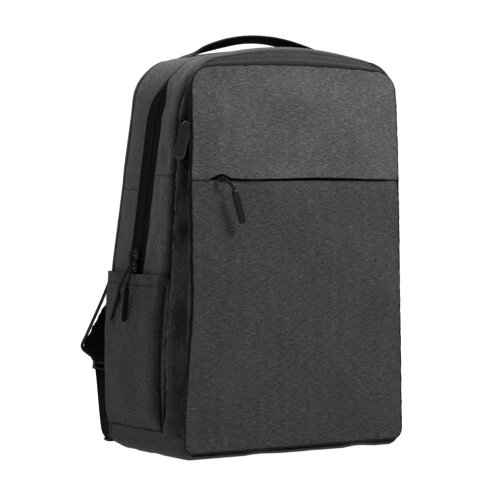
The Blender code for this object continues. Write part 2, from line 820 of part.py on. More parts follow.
# ---------------------------------------------------------------- shoulder straps
PAD_ROUTE = (
    (0.0600, 0.0660, 0.3720),
    (0.0635, 0.0820, 0.3450),
    (0.0710, 0.0960, 0.3050),
    (0.0840, 0.1090, 0.2500),
    (0.1030, 0.1260, 0.1850),
    (0.1190, 0.1400, 0.1300),
    (0.1265, 0.1470, 0.1030),
)
PAD_WIDTHS = (0.056, 0.060, 0.064, 0.064, 0.060, 0.056, 0.040)
LOOP_ROUTE = ((0.1268, 0.1472, 0.1022), (0.1262, 0.1467, 0.0990), (0.1254, 0.1459, 0.0957))
WEB_ROUTE = (
    (0.1254, 0.1426, 0.0838),
    (0.1266, 0.1390, 0.0750),
    (0.1300, 0.1290, 0.0540),
    (0.1345, 0.1165, 0.0310),
    (0.1385, 0.1045, 0.0145),
)
TAB_ROUTE = ((0.1380, 0.0888, 0.0072), (0.1385, 0.0945, 0.0072), (0.1390, 0.0985, 0.0088))


def build_strap(side, name):
    """One shoulder strap: the pad, its webbing loop and adjuster, and the webbing to the base."""

    def placed(points):
        return [(side * x, y, z) for x, y, z in points]

    level, lean = (side, 0, 0), (side * 0.97, 0, 0.24)
    across = (lean, lean)
    ribbon(f"strap_pad_{name}", placed(PAD_ROUTE), (level, lean), PAD_WIDTHS, 0.011, MESH_FABRIC, 3)
    ribbon(f"adjuster_loop_{name}", placed(LOOP_ROUTE), across, (0.025, 0.025), 0.0022, WEBBING, 2)
    adjuster(f"adjuster_{name}", side, lean)
    ribbon(f"strap_webbing_{name}", placed(WEB_ROUTE), (lean, level), (0.025, 0.025), 0.0016, WEBBING)
    ribbon(f"strap_tab_{name}", placed(TAB_ROUTE), (level, level), (0.028, 0.025), 0.0024, WEBBING, 2)


def adjuster(name, side, across):
    """A ladder-lock buckle: a frame with a slot across it."""
    down = Vector((side * 0.20, -0.20, -0.96)).normalized()
    wide = Vector(across).normalized()
    frame = frame_matrix((side * 0.1240, 0.1443, 0.0895), down, down.cross(wide) * -side)
    body = block(name, (0.0098, 0.0330, 0.0034), frame, BUCKLE, 0.0009)
    cut(body, block(f"{name}_slot", (0.0042, 0.0262, 0.02), frame, BUCKLE))


build_shell()
build_back()
build_main_zip()
build_main_sliders()
pleats = build_front()
front_slider()
build_side_pockets()
build_port(pleats)
build_inside()
build_handle()
for strap_side, strap_name in ((-1, "left"), (1, "right")):
    build_strap(strap_side, strap_name)
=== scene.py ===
"""Looks of a laptop backpack with a charging port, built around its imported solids.

Metres, +Z up, front towards -Y, origin at the middle of the base.
"""

import math

import bpy
import numpy as np
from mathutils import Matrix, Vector


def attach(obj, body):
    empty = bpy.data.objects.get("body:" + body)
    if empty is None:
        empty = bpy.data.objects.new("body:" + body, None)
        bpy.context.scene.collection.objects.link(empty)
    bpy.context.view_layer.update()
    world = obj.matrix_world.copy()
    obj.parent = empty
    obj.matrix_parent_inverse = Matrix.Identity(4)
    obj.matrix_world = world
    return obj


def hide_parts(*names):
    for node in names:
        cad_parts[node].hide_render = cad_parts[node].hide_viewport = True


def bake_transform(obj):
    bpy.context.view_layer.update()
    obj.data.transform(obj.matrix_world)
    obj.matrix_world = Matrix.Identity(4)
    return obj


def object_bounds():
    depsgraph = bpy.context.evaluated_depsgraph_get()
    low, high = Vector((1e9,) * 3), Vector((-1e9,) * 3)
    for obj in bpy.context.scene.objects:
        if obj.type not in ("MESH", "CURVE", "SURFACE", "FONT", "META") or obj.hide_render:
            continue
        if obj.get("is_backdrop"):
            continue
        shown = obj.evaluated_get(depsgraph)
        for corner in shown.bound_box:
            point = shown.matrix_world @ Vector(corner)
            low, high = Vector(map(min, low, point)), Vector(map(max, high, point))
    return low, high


bl_info = {
    "name": "Laptop Backpack",
    "version": (1, 0, 0),
    "blender": (4, 5, 0),
    "location": "View3D > Sidebar > Backpack",
    "description": "Builds a melange laptop backpack piece by piece around its solids",
    "category": "Add Mesh",
}

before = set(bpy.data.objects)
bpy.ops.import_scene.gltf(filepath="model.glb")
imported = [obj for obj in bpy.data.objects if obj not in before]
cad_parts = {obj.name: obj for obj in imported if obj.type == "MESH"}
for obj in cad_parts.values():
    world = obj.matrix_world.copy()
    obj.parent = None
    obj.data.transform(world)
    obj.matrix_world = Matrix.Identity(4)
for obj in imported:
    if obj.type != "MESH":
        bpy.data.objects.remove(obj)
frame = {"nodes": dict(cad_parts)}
SOLID_BOX = [list(corner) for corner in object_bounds()]

# ---------------------------------------------------------------- shared sizes, as in the solids
GAP = 0.0003
SHELL = 0.0025  # cloth, foam and lining together
CLOTH = 0.0012  # one layer of cloth or tape
FOAM = 0.010  # back panel
SEAM_LOW = 0.029  # the base wraps up the sides to this height
ZIP_FOOT = 0.200
POCKET_MOUTH = 0.2075
WELT = 0.3150  # height of the front pocket's slit
ZIP_HALF = 0.0165
CHAIN_HALF = 0.0031
CHAIN_RISE = 0.0019
TOOTH = 0.0015  # pitch of a zip's teeth
SLIDER_PLATE, SLIDER_RISE = 0.0013, 0.0031  # plate of a main slider, and room under its bridge
STRAP_WIDE = 0.025  # webbing of the handle, the straps and the sleeve
PORT_RISE = 0.0018  # the port's base stands this far off the cloth
PAD_X, PAD_Z = 0.072, 0.195  # middle of a back pad
PAD_HALF_X, PAD_HALF_Z = 0.0495, 0.1395
SWELL_FRAMES = 20
FRONT_Y, BACK_Y = -0.088, 0.088

# Depth (or inset) of each line against height.
BACK_LINE = ((0.0, BACK_Y), (0.21, BACK_Y), (0.44, 0.038))
ZIP_LINE = ((ZIP_FOOT, 0.0285), (0.385, -0.0085), (0.44, -0.037))
VALLEY_LINE = ((0.128, -0.037), (0.204, -0.046), (0.377, -0.060), (0.405, -0.070), (0.436, -0.080))
RIDGE_LINE = (
    (0.128, -0.044), (0.204, -0.053), (0.388, -0.0668), (0.405, -0.0745), (0.436, -0.0815)
)
RECESS_LINE = ((0.0, -0.0808), (0.333, -0.0808), (0.388, -0.0825), (0.436, -0.0832))
RECESS_DEPTH = (
    (0.032, 0.002), (0.075, 0.0185), (0.333, 0.0185), (0.388, 0.0150), (0.42, 0.004), (0.44, 0.0015)
)
VALLEY_DEPTH = ((0.03, 0.001), (0.07, 0.0085), (0.385, 0.0085), (0.425, 0.0025), (0.44, 0.0008))
HOLLOW_DEPTH = (
    (0.030, 0.002), (0.085, 0.0270), (0.325, 0.0270), (0.388, 0.0200), (0.42, 0.005), (0.44, 0.0015)
)
LEFT_PULL = (
    (0.03, -0.0005), (0.065, 0.0), (0.08, 0.0015), (0.105, 0.0028), (0.13, 0.0045), (0.165, 0.0072),
    (0.195, 0.0070), (0.225, 0.0055), (0.265, 0.0044), (0.30, 0.0028), (0.33, 0.0024),
    (0.36, 0.0036), (0.395, 0.0030), (0.42, 0.0020), (0.44, 0.0012)
)
DIM = (0.0, 0.0, 0.2)  # a point well inside the bag

# ---------------------------------------------------------------- arithmetic on whole arrays


def at(line, z, add=0.0):
    """The line's value at height z: straight between the points given, and level past its ends."""
    return np.interp(z, [p[0] for p in line], [p[1] for p in line]) + add


def ease(t):
    """0 below 0, 1 above 1, and 3t^2 - 2t^3 between them."""
    t = np.clip(t, 0.0, 1.0)
    return t * t * (3 - 2 * t)


def bump(t, width):
    """A bell: e to the power of minus (t / width) squared."""
    return np.exp(-((t / width) ** 2))


def spread(start, stop, count, crowd=0.5):
    """Numbers from start to stop that crowd towards both ends: a share of a sine added to a
    line."""
    t = np.linspace(-1, 1, count)
    t = (1 - crowd) * t + crowd * np.sin(t * np.pi / 2)
    return start + (stop - start) * (t + 1) / 2


def ripple(a, b, size, seed, waves=12):
    """Uneven cloth waves: the scaled sum of sines over the plane (a, b), each with its own
    seeded direction, length near size, and phase."""
    draw = np.random.default_rng(seed)
    total = 0.0
    for turn, length, phase in zip(
        draw.uniform(0, np.pi, waves),
        draw.uniform(0.6, 1.8, waves) * size,
        draw.uniform(0, 2 * np.pi, waves)
    ):
        total = total + np.sin((a * np.cos(turn) + b * np.sin(turn)) * 2 * np.pi / length + phase)
    return total / math.sqrt(waves / 2)


def spline(points, count, axis=0):
    """Catmull-Rom through the rows given: count rows evenly spaced in the curve's own parameter."""
    p = np.moveaxis(np.asarray(points, float), axis, 0)
    p = np.concatenate([2 * p[:1] - p[1:2], p, 2 * p[-1:] - p[-2:-1]])
    t = np.linspace(0, len(p) - 3 - 1e-9, count)
    i = t.astype(int)
    t = (t - i).reshape(-1, *[1] * (p.ndim - 1))
    a, b, c, d = p[i], p[i + 1], p[i + 2], p[i + 3]
    made = (
        0.5
        * (
            2 * b
            + (c - a) * t
            + (2 * a - 5 * b + 4 * c - d) * t**2
            + (3 * b - 3 * c + d - a) * t**3
        )
    )
    return np.moveaxis(made, 0, axis)


def even(path, count):
    """The path's points moved to equal steps of length along it."""
    path = np.asarray(path, float)
    run = np.concatenate([[0], np.cumsum(np.linalg.norm(np.diff(path, axis=0), axis=1))])
    s = np.linspace(0, run[-1], count)
    return np.stack([np.interp(s, run, path[:, k]) for k in range(path.shape[1])], 1)


def soften(path, reach):
    """Each point's mean with reach neighbours on either side; past the ends the path is carried
    on straight."""
    head = 2 * path[0] - path[1 : reach + 1][::-1]
    tail = 2 * path[-1] - path[-reach - 1 : -1][::-1]
    long = np.concatenate([head, path, tail])
    total = np.cumsum(np.concatenate([np.zeros((1, path.shape[1])), long]), 0)
    width = 2 * reach + 1
    return (total[width:] - total[:-width]) / width


def unit(v):
    """Vectors divided by their lengths."""
    return v / np.maximum(np.linalg.norm(v, axis=-1, keepdims=True), 1e-12)


def normals_of(p):
    """Unit normals of a grid of points: the cross product of its two directions."""
    return unit(np.cross(np.gradient(p, axis=0), np.gradient(p, axis=1)))


def lengths(p):
    """UV in metres: the length run along the mean row and down the mean column."""
    u = np.cumsum(np.linalg.norm(np.diff(p, axis=1, prepend=p[:, :1]), axis=2), 1)
    v = np.cumsum(np.linalg.norm(np.diff(p, axis=0, prepend=p[:1]), axis=2), 0)
    return np.stack(
        [np.broadcast_to(u.mean(0), p.shape[:2]), np.broadcast_to(v.mean(1)[:, None], p.shape[:2])],
        2
    )


def frames(path, across):
    """Unit vectors along the path, across it (nearest to the direction given), and out of its
    face."""
    along = unit(np.gradient(path, axis=0))
    out = unit(np.cross(along, np.broadcast_to(across, path.shape)))
    return along, np.cross(out, along), out


class Outline:
    """A trapezoid with an arched top and round corners, seen from the front."""

    def __init__(self, half_low, half_high, crown, arch, corner, foot, foot_corner):
        self.half_low, self.half_high, self.crown = half_low, half_high, crown
        self.arch, self.corner, self.foot, self.foot_corner = arch, corner, foot, foot_corner
        self.shoulder = crown - arch - corner
        self.reach = half_high - corner

    def half(self, z):
        """Half width of the straight sides: a line from the base to the shoulder."""
        return self.half_low + (self.half_high - self.half_low) * np.clip(z / self.shoulder, 0, 1)

    def top(self, x):
        """Height of the arch: the crown less a parabola."""
        return self.crown - self.arch * np.minimum(np.abs(x) / self.reach, 1) ** 2

    def wide(self, z):
        """Half width at any height, round corners counted: a circle's chord near the foot and
        past the shoulder."""
        r, f = self.corner, self.foot_corner
        up = np.clip((z - self.shoulder) / r, 0, 1)
        down = np.clip((self.foot + f - z) / f, 0, 1)
        return self.half(z) - r * (1 - np.sqrt(1 - up**2)) - f * (1 - np.sqrt(1 - down**2))

    def edge(self, x, z):
        """Distance in from the rim: the least of those to the sides, the top and the foot, or
        to a corner's circle."""
        half, x = self.half(z), np.abs(x)
        near = np.minimum(np.minimum(half - x, self.top(x) - z), z - self.foot)
        for r, cz, beyond in (
            (self.corner, self.shoulder, 1), (self.foot_corner, self.foot + self.foot_corner, -1)
        ):
            dx, dz = x - (half - r), (z - cz) * beyond
            round_in = r - np.hypot(np.maximum(dx, 0), np.maximum(dz, 0))
            near = np.where((dx > 0) & (dz > 0), np.minimum(near, round_in), near)
        return near

    def rim(self, low, sides=170, turns=36, tops=40):
        """The rim from the left foot over the top to the right foot: a line, a quarter circle
        and a parabola, mirrored."""
        z = np.linspace(low, self.shoulder, sides, endpoint=False)
        a = np.linspace(0, np.pi / 2, turns, endpoint=False)
        x = np.linspace(self.reach, 0, tops)
        right = np.concatenate(
            [
                np.stack([self.half(z), z], 1),
                np.stack(
                    [self.reach + self.corner * np.cos(a), self.shoulder + self.corner * np.sin(a)],
                    1
                ),
                np.stack([x, self.top(x)], 1),
            ]
        )
        return soften(np.concatenate([right * (-1, 1), right[-2::-1]]), 5)


BODY = Outline(0.152, 0.1435, 0.465, 0.010, 0.050, 0.0, 0.010)
FACE = Outline(0.1515, 0.1430, 0.446, 0.004, 0.027, 0.008, 0.013)


def inward(rim):
    """The rim's unit normals towards the inside, in the plane of the front."""
    run = unit(np.gradient(rim, axis=0))
    return np.stack([run[:, 1], -run[:, 0]], 1)


def station(rim, depth, inset):
    """The rim moved in by the inset line's value at each height, and put at the depth line's
    value."""
    x, z = rim[:, 0], rim[:, 1]
    n = inward(rim)
    d = at(inset, z) if isinstance(inset, tuple) else inset
    return np.stack(
        [x + n[:, 0] * d, depth(z) if callable(depth) else at(depth, z), z + n[:, 1] * d], 1
    )


# ---------------------------------------------------------------- meshes
def place(name, mesh, looks):
    """A new object with its materials, in the scene."""
    for look in looks if isinstance(looks, (list, tuple)) else [looks]:
        mesh.materials.append(bpy.data.materials[look])
    obj = bpy.data.objects.new(name, mesh)
    bpy.context.scene.collection.objects.link(obj)
    return obj


def skin(name, points, look, wrap=False, caps=False, wall=0.0, inside=None, uv=None):
    """A grid of points (rows, columns, 3) as quads. wrap joins the last column to the first, caps
    closes the end rows, wall thickens the sheet away from its outside, and inside is a point
    behind it (the mean point if left out)."""
    rows, cols = points.shape[:2]
    uv = lengths(points) if uv is None else uv
    grid = np.arange(rows * cols).reshape(rows, cols)
    if wrap:
        grid = np.concatenate([grid, grid[:, :1]], 1)
        step = uv[:, 1:2] - uv[:, :1]
        uv = np.concatenate([uv, uv[:, -1:] + step], 1)
    corner = (
        (slice(None, -1), slice(None, -1)),
        (slice(None, -1), slice(1, None)),
        (slice(1, None), slice(1, None)),
        (slice(1, None), slice(None, -1))
    )
    quads = np.stack([grid[c] for c in corner], -1).reshape(-1, 4)
    maps = np.stack([uv[c] for c in corner], 2).reshape(-1, 4, 2)
    flat = points.reshape(-1, 3)
    centre = flat[quads].mean(1)
    facing = np.cross(flat[quads[:, 2]] - flat[quads[:, 0]], flat[quads[:, 3]] - flat[quads[:, 1]])
    origin = flat.mean(0) if inside is None else np.asarray(inside, float)
    flip = (facing * (centre - origin)).sum() < 0
    if flip:
        quads, maps = quads[:, ::-1], maps[:, ::-1]
    faces, maps = quads.tolist(), maps.reshape(-1, 2)
    if caps:
        ends = [grid[0, :cols][::-1], grid[-1, :cols]]
        faces += [(e[::-1] if flip else e).tolist() for e in ends]
        maps = np.concatenate([maps, np.zeros((2 * cols, 2))])
    mesh = bpy.data.meshes.new(name)
    mesh.from_pydata(flat.tolist(), [], faces)
    mesh.uv_layers.new(name="cloth").data.foreach_set("uv", maps.astype(np.float32).ravel())
    mesh.polygons.foreach_set("use_smooth", np.ones(len(mesh.polygons), bool))
    obj = place(name, mesh, look)
    if wall:
        thick = obj.modifiers.new("wall", "SOLIDIFY")
        thick.thickness, thick.offset, thick.use_even_offset = wall, -1.0, False
    return obj


def tube(name, path, radius, look, sides=8, across=(0, 0, 1), twist=0.0, flat=1.0):
    """A ring of radius r carried along the path: centre + r (cos a times across + flat sin a
    times out). twist turns it per metre."""
    path = np.asarray(path, float)
    _, side, out = frames(path, across)
    a = np.linspace(0, 2 * np.pi, sides, endpoint=False)[None, :]
    run = np.concatenate([[0], np.cumsum(np.linalg.norm(np.diff(path, axis=0), axis=1))])[:, None]
    lobes = 1 + (0.16 * np.cos(3 * (a + twist * run)) if twist else 0)
    r = (np.broadcast_to(radius, (len(path),))[:, None] * lobes)[..., None]
    ring = np.cos(a)[..., None] * side[:, None] + flat * np.sin(a)[..., None] * out[:, None]
    return skin(name, path[:, None] + r * ring, look, wrap=True, caps=True)


def ribbon_points(path, across, width, thick, columns=16, roll=0.0):
    """A flat woven strap's section, a superellipse of the width and thickness, carried along
    the path and turned by roll."""
    path = np.asarray(path, float)
    _, side, out = frames(path, across)
    roll = np.broadcast_to(roll, (len(path),))[:, None]
    side, out = side * np.cos(roll) + out * np.sin(roll), out * np.cos(roll) - side * np.sin(roll)
    a = np.linspace(0, 2 * np.pi, 2 * columns, endpoint=False)
    c, s = np.cos(a), np.sin(a)
    w = np.sign(c) * np.abs(c) ** 0.30
    t = np.sign(s) * np.abs(s) ** 0.75
    half_w = np.broadcast_to(width, (len(path),))[:, None, None] / 2
    half_t = np.broadcast_to(thick, (len(path),))[:, None, None] / 2
    return (
        path[:, None]
        + side[:, None] * w[None, :, None] * half_w
        + out[:, None] * t[None, :, None] * half_t
    )


def ribbon(name, path, across, width, thick, look, **more):
    """A closed strip of webbing along the path."""
    return skin(name, ribbon_points(path, across, width, thick, **more), look, wrap=True, caps=True)


def scattered(name, form, faces, places, look):
    """One small closed form copied to many places: each place is an origin and three axes, so a
    point is origin + axes times form."""
    origins, axes = places
    points = (origins[:, None] + np.einsum("vk,nkc->nvc", form, axes)).reshape(-1, 3)
    step = np.arange(len(origins))[:, None, None] * len(form)
    cells = [(np.asarray(f)[None, None] + step).reshape(-1, len(f)) for f in faces]
    mesh = bpy.data.meshes.new(name)
    mesh.from_pydata(points.tolist(), [], [c for cell in cells for c in cell.tolist()])
    mesh.polygons.foreach_set("use_smooth", np.ones(len(mesh.polygons), bool))
    mesh.update()
    return place(name, mesh, look)


def sizes():
    """The sizes set in the sidebar."""
    return bpy.context.scene.backpack_sizes


def stitches(name, runs, look="sewing_thread", share=1.0):
    """A row of stitches along each run (path, normals): six-sided grains, two thirds of a pitch
    long, half sunk in the cloth."""
    pitch, size = sizes().stitch_pitch * share, sizes().thread
    ring = np.arange(6) * np.pi / 3
    hoop = np.stack([np.zeros(6), np.cos(ring), np.sin(ring)], 1)
    form = np.concatenate(
        [
            [(-0.5, 0, 0)],
            hoop * (1, 0.8, 0.8) - (0.28, 0, 0),
            hoop * (1, 0.8, 0.8) + (0.28, 0, 0),
            [(0.5, 0, 0)]
        ]
    )
    nxt = (np.arange(6) + 1) % 6
    faces = [(0, 1 + n, 1 + i) for i, n in enumerate(nxt)]
    faces += [(1 + i, 1 + n, 7 + n, 7 + i) for i, n in enumerate(nxt)]
    faces += [(7 + i, 7 + n, 13) for i, n in enumerate(nxt)]
    origins, axes = [], []
    for path, out in runs:
        path, out = np.asarray(path, float), np.asarray(out, float)
        length = np.linalg.norm(np.diff(path, axis=0), axis=1).sum()
        count = max(int(length / pitch), 2)
        both = even(np.concatenate([path, np.broadcast_to(out, path.shape)], 1), count)
        run, n = unit(np.gradient(both[:, :3], axis=0)), unit(both[:, 3:])
        side = unit(np.cross(n, run))
        origins.append(both[:, :3] + n * size * 0.35)
        axes.append(np.stack([run * pitch * 0.68, side * size, np.cross(run, side) * size], 1))
    return scattered(name, form, faces, (np.concatenate(origins), np.concatenate(axes)), look)


def finish(obj, body, slot, *nodes):
    """The piece rides on its body and stands for the nodes. The slot is not used."""
    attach(obj, body)
    if nodes:
        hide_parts(*nodes)
    return obj


def sewn(obj, *nodes):
    """A piece of the bag's own cloth, or thread in it."""
    return finish(obj, "bag", "melange_fabric", *nodes)


def swell(obj, cap, voxel):
    """Pads the closed piece: a remesh, some frames of inflated cloth, each point kept within cap of
    its start, and one subdivision."""
    remesh = obj.modifiers.new("remesh", "REMESH")
    remesh.mode, remesh.voxel_size = "VOXEL", voxel
    settle(obj)
    start = coordinates(obj.data)
    cloth = obj.modifiers.new("cloth", "CLOTH")
    cloth.settings.quality = 5
    cloth.settings.use_pressure = True
    cloth.settings.uniform_pressure_force = 4.0
    cloth.settings.effector_weights.gravity = 0.0
    cloth.settings.tension_stiffness = cloth.settings.compression_stiffness = 25
    cloth.settings.bending_stiffness = 2.0
    cloth.settings.shrink_min = -0.02
    cloth.point_cache.frame_start, cloth.point_cache.frame_end = 1, SWELL_FRAMES
    scene = bpy.context.scene
    for step in range(1, SWELL_FRAMES + 1):
        scene.frame_set(step)
    settle(obj)
    scene.frame_set(1)
    moved = coordinates(obj.data) - start
    far = np.linalg.norm(moved, axis=1, keepdims=True)
    moved *= np.minimum(1, cap / np.maximum(far, 1e-9))
    obj.data.vertices.foreach_set("co", (start + moved).astype(np.float32).ravel())
    smooth = obj.modifiers.new("smooth", "SUBSURF")
    smooth.levels = smooth.render_levels = 1
    settle(obj)
    return obj


def painted_fold_shade(obj, depth):
    """Paints shade on the cloth where it folds away: one value from 0 to 1 for each point, read by
    the cloths as how far to darken them towards black."""
    mark = obj.data.attributes.new("painted_fold_shade", "FLOAT", "POINT")
    mark.data.foreach_set(
        "value", np.clip(np.asarray(depth, float), 0, 1).astype(np.float32).ravel()
    )
    return obj


def coordinates(mesh):
    """The mesh's points as one array."""
    co = np.empty(len(mesh.vertices) * 3, np.float32)
    mesh.vertices.foreach_get("co", co)
    return co.reshape(-1, 3).astype(float)


def settle(obj):
    """The piece's evaluated mesh becomes its own, and its modifiers go."""
    graph = bpy.context.evaluated_depsgraph_get()
    made = bpy.data.meshes.new_from_object(obj.evaluated_get(graph), depsgraph=graph)
    old, obj.data = obj.data, made
    obj.modifiers.clear()
    bpy.data.meshes.remove(old)
    obj.data.polygons.foreach_set("use_smooth", np.ones(len(obj.data.polygons), bool))
    return obj


# ---------------------------------------------------------------- materials
class Board:
    """Adds nodes to a tree. An input given as a socket is linked, and anything else is its
    value."""

    def __init__(self, tree):
        self.tree = tree

    def add(self, kind, inputs=None, **settings):
        node = self.tree.nodes.new(kind)
        for key, value in settings.items():
            setattr(node, key, value)
        for key, value in (inputs or {}).items():
            socket = node.inputs[key]
            if isinstance(value, bpy.types.NodeSocket):
                self.tree.links.new(value, socket)
            else:
                socket.default_value = value
        return node

    def math(self, operation, a, b=0.0, clamp=False):
        return self.add(
            "ShaderNodeMath", {0: a, 1: b}, operation=operation, use_clamp=clamp
        ).outputs[0]

    def mix(self, share, a, b):
        return self.add("ShaderNodeMix", {0: share, 6: a, 7: b}, data_type="RGBA").outputs[2]

    def blend(self, share, a, b):
        return self.add("ShaderNodeMix", {0: share, 2: a, 3: b}, data_type="FLOAT").outputs[0]

    def remap(self, value, low, high, to_low=0.0, to_high=1.0):
        return self.add(
            "ShaderNodeMapRange", {0: value, 1: low, 2: high, 3: to_low, 4: to_high}
        ).outputs[0]

    def noise(self, vector, scale, detail=3.0, roughness=0.5):
        return self.add(
            "ShaderNodeTexNoise",
            {"Vector": vector, "Scale": scale, "Detail": detail, "Roughness": roughness}
        ).outputs[0]

    def stretched(self, vector, x, y, z=1.0):
        return self.add("ShaderNodeMapping", {"Vector": vector, "Scale": (x, y, z)}).outputs[0]

    def wave(self, value, pitch):
        """Sine of the value, one turn for each pitch."""
        return self.math("SINE", self.math("MULTIPLY", value, 2 * math.pi / pitch))


def group(name, inputs, outputs):
    """A new shader node group: its tree, input sockets by name, and the node that takes its
    outputs."""
    tree = bpy.data.node_groups.new(name, "ShaderNodeTree")
    for label, kind, value in inputs:
        socket = tree.interface.new_socket(label, in_out="INPUT", socket_type=kind)
        if value is not None:
            socket.default_value = value
    for label, kind in outputs:
        tree.interface.new_socket(label, in_out="OUTPUT", socket_type=kind)
    board = Board(tree)
    return board, board.add("NodeGroupInput").outputs, board.add("NodeGroupOutput").inputs


VECTOR, COLOUR, NUMBER = "NodeSocketVector", "NodeSocketColor", "NodeSocketFloat"


def make_melange_weave():
    """Two-tone plain weave. Warp and weft each have slubs, a stretched noise; the thread on top
    is picked by the sign of
    sin u times sin v; height is the arch of each thread."""
    b, given, out = group(
        "melange_weave",
        [
            ("Vector", VECTOR, None),
            ("Light", COLOUR, (0.2, 0.2, 0.2, 1)),
            ("Dark", COLOUR, (0.03, 0.03, 0.03, 1)),
            ("Slub", NUMBER, 1.0),
            ("Shade", NUMBER, 1.0)
        ],
        [("Color", COLOUR), ("Height", NUMBER), ("Roughness", NUMBER)],
    )
    uv = given["Vector"]
    parts = b.add("ShaderNodeSeparateXYZ", {0: uv}).outputs
    pitch = 0.0011
    su, sv = b.wave(parts[0], pitch), b.wave(parts[1], pitch)
    top = b.remap(b.math("MULTIPLY", su, sv), -0.25, 0.25)
    weft = b.noise(b.stretched(uv, 170, 1150), 1.0, 4.0, 0.7)
    warp = b.noise(b.stretched(uv, 1150, 330), 1.0, 4.0, 0.7)
    yarn = b.blend(top, b.remap(weft, 0.36, 0.64), b.remap(warp, 0.36, 0.68))
    slub = b.remap(b.noise(b.stretched(uv, 90, 900), 1.0, 2.0), 0.54, 0.76)
    knot = b.remap(b.noise(b.stretched(uv, 520, 760), 1.0, 2.0), 0.62, 0.74)
    light = b.math("ADD", b.math("MULTIPLY", slub, 0.55), b.math("MULTIPLY", knot, 0.35))
    tone = b.math("ADD", b.math("MULTIPLY", b.math("SUBTRACT", yarn, 0.5), given["Slub"]), 0.34)
    tone = b.math("ADD", tone, light, True)
    broad = b.remap(b.noise(uv, 22.0, 2.0), 0.3, 0.7, 0.93, 1.07)
    shade = b.math(
        "MULTIPLY",
        b.math("MULTIPLY", broad, given["Shade"]),
        b.remap(b.noise(uv, 240.0, 1.0), 0.3, 0.7, 0.96, 1.04)
    )
    colour = b.mix(tone, given["Dark"], given["Light"])
    b.tree.links.new(
        b.add("ShaderNodeVectorMath", {0: colour, "Scale": shade}, operation="SCALE").outputs[0],
        out["Color"]
    )
    arch = b.blend(top, b.math("ABSOLUTE", sv), b.math("ABSOLUTE", su))
    height = b.math("ADD", b.math("MULTIPLY", arch, 0.55), b.math("MULTIPLY", yarn, 0.45))
    b.tree.links.new(height, out["Height"])
    b.tree.links.new(b.remap(yarn, 0.0, 1.0, 0.95, 0.82), out["Roughness"])


def make_webbing_ribs():
    """Woven strap: ribs along the strap broken into short floats, the product of a wave across
    and a shifted wave along."""
    b, given, out = group(
        "webbing_ribs",
        [
            ("Vector", VECTOR, None),
            ("Light", COLOUR, (0.03, 0.03, 0.03, 1)),
            ("Dark", COLOUR, (0.006, 0.006, 0.006, 1)),
            ("Rib", NUMBER, 0.0016)
        ],
        [("Color", COLOUR), ("Height", NUMBER)],
    )
    parts = b.add("ShaderNodeSeparateXYZ", {0: given["Vector"]}).outputs
    turn = b.math("DIVIDE", b.math("MULTIPLY", parts[0], 2 * math.pi), given["Rib"])
    run = b.math("DIVIDE", b.math("MULTIPLY", parts[1], 2 * math.pi), given["Rib"])
    rib = b.math("ABSOLUTE", b.math("SINE", b.math("ADD", turn, b.math("MULTIPLY", run, 0.5))))
    float_ = b.math(
        "ABSOLUTE", b.math("SINE", b.math("SUBTRACT", run, b.math("MULTIPLY", turn, 0.5)))
    )
    height = b.math("MULTIPLY", rib, float_)
    fuzz = b.noise(given["Vector"], 900.0, 3.0)
    tone = b.math("MULTIPLY", b.math("ADD", height, fuzz), 0.6, True)
    b.tree.links.new(b.mix(tone, given["Dark"], given["Light"]), out["Color"])
    b.tree.links.new(height, out["Height"])


def make_spacer_mesh():
    """Air mesh: rows of round holes in a knit, where the distance to a Voronoi cell's point is
    small, over a fine fuzz."""
    b, given, out = group(
        "spacer_mesh",
        [
            ("Vector", VECTOR, None),
            ("Yarn", COLOUR, (0.02, 0.02, 0.02, 1)),
            ("Hole", COLOUR, (0.002, 0.002, 0.002, 1)),
            ("Pitch", NUMBER, 0.003)
        ],
        [("Color", COLOUR), ("Height", NUMBER)],
    )
    cell = b.math("DIVIDE", 1.0, given["Pitch"])
    scaled = b.add(
        "ShaderNodeVectorMath", {0: given["Vector"], "Scale": cell}, operation="SCALE"
    ).outputs[0]
    spots = b.add(
        "ShaderNodeTexVoronoi", {"Vector": scaled, "Scale": 1.0, "Randomness": 0.15}, feature="F1"
    ).outputs[0]
    yarn = b.remap(spots, 0.24, 0.42)
    fuzz = b.noise(given["Vector"], 1400.0, 2.0)
    b.tree.links.new(
        b.mix(
            b.math("MULTIPLY", yarn, b.remap(fuzz, 0.2, 0.8, 0.6, 1.0)),
            given["Hole"],
            given["Yarn"]
        ),
        out["Color"]
    )
    b.tree.links.new(b.math("ADD", yarn, b.math("MULTIPLY", fuzz, 0.3)), out["Height"])


def make_fine_grain():
    """Moulded grain: a fine and a broad noise give the height, the roughness and a faint change
    of tone."""
    b, given, out = group(
        "fine_grain",
        [
            ("Vector", VECTOR, None),
            ("Base", COLOUR, (0.02, 0.02, 0.02, 1)),
            ("Scale", NUMBER, 900.0),
            ("Rough", NUMBER, 0.5),
            ("Wear", NUMBER, 0.1)
        ],
        [("Color", COLOUR), ("Height", NUMBER), ("Roughness", NUMBER)],
    )
    fine = b.noise(given["Vector"], given["Scale"], 4.0, 0.6)
    broad = b.noise(given["Vector"], b.math("MULTIPLY", given["Scale"], 0.06), 3.0)
    rub = b.math("MULTIPLY", b.remap(broad, 0.5, 0.72), given["Wear"])
    b.tree.links.new(b.mix(rub, given["Base"], (0.32, 0.32, 0.33, 1)), out["Color"])
    b.tree.links.new(fine, out["Height"])
    b.tree.links.new(
        b.math("ADD", given["Rough"], b.remap(broad, 0.3, 0.7, -0.08, 0.08), True), out["Roughness"]
    )


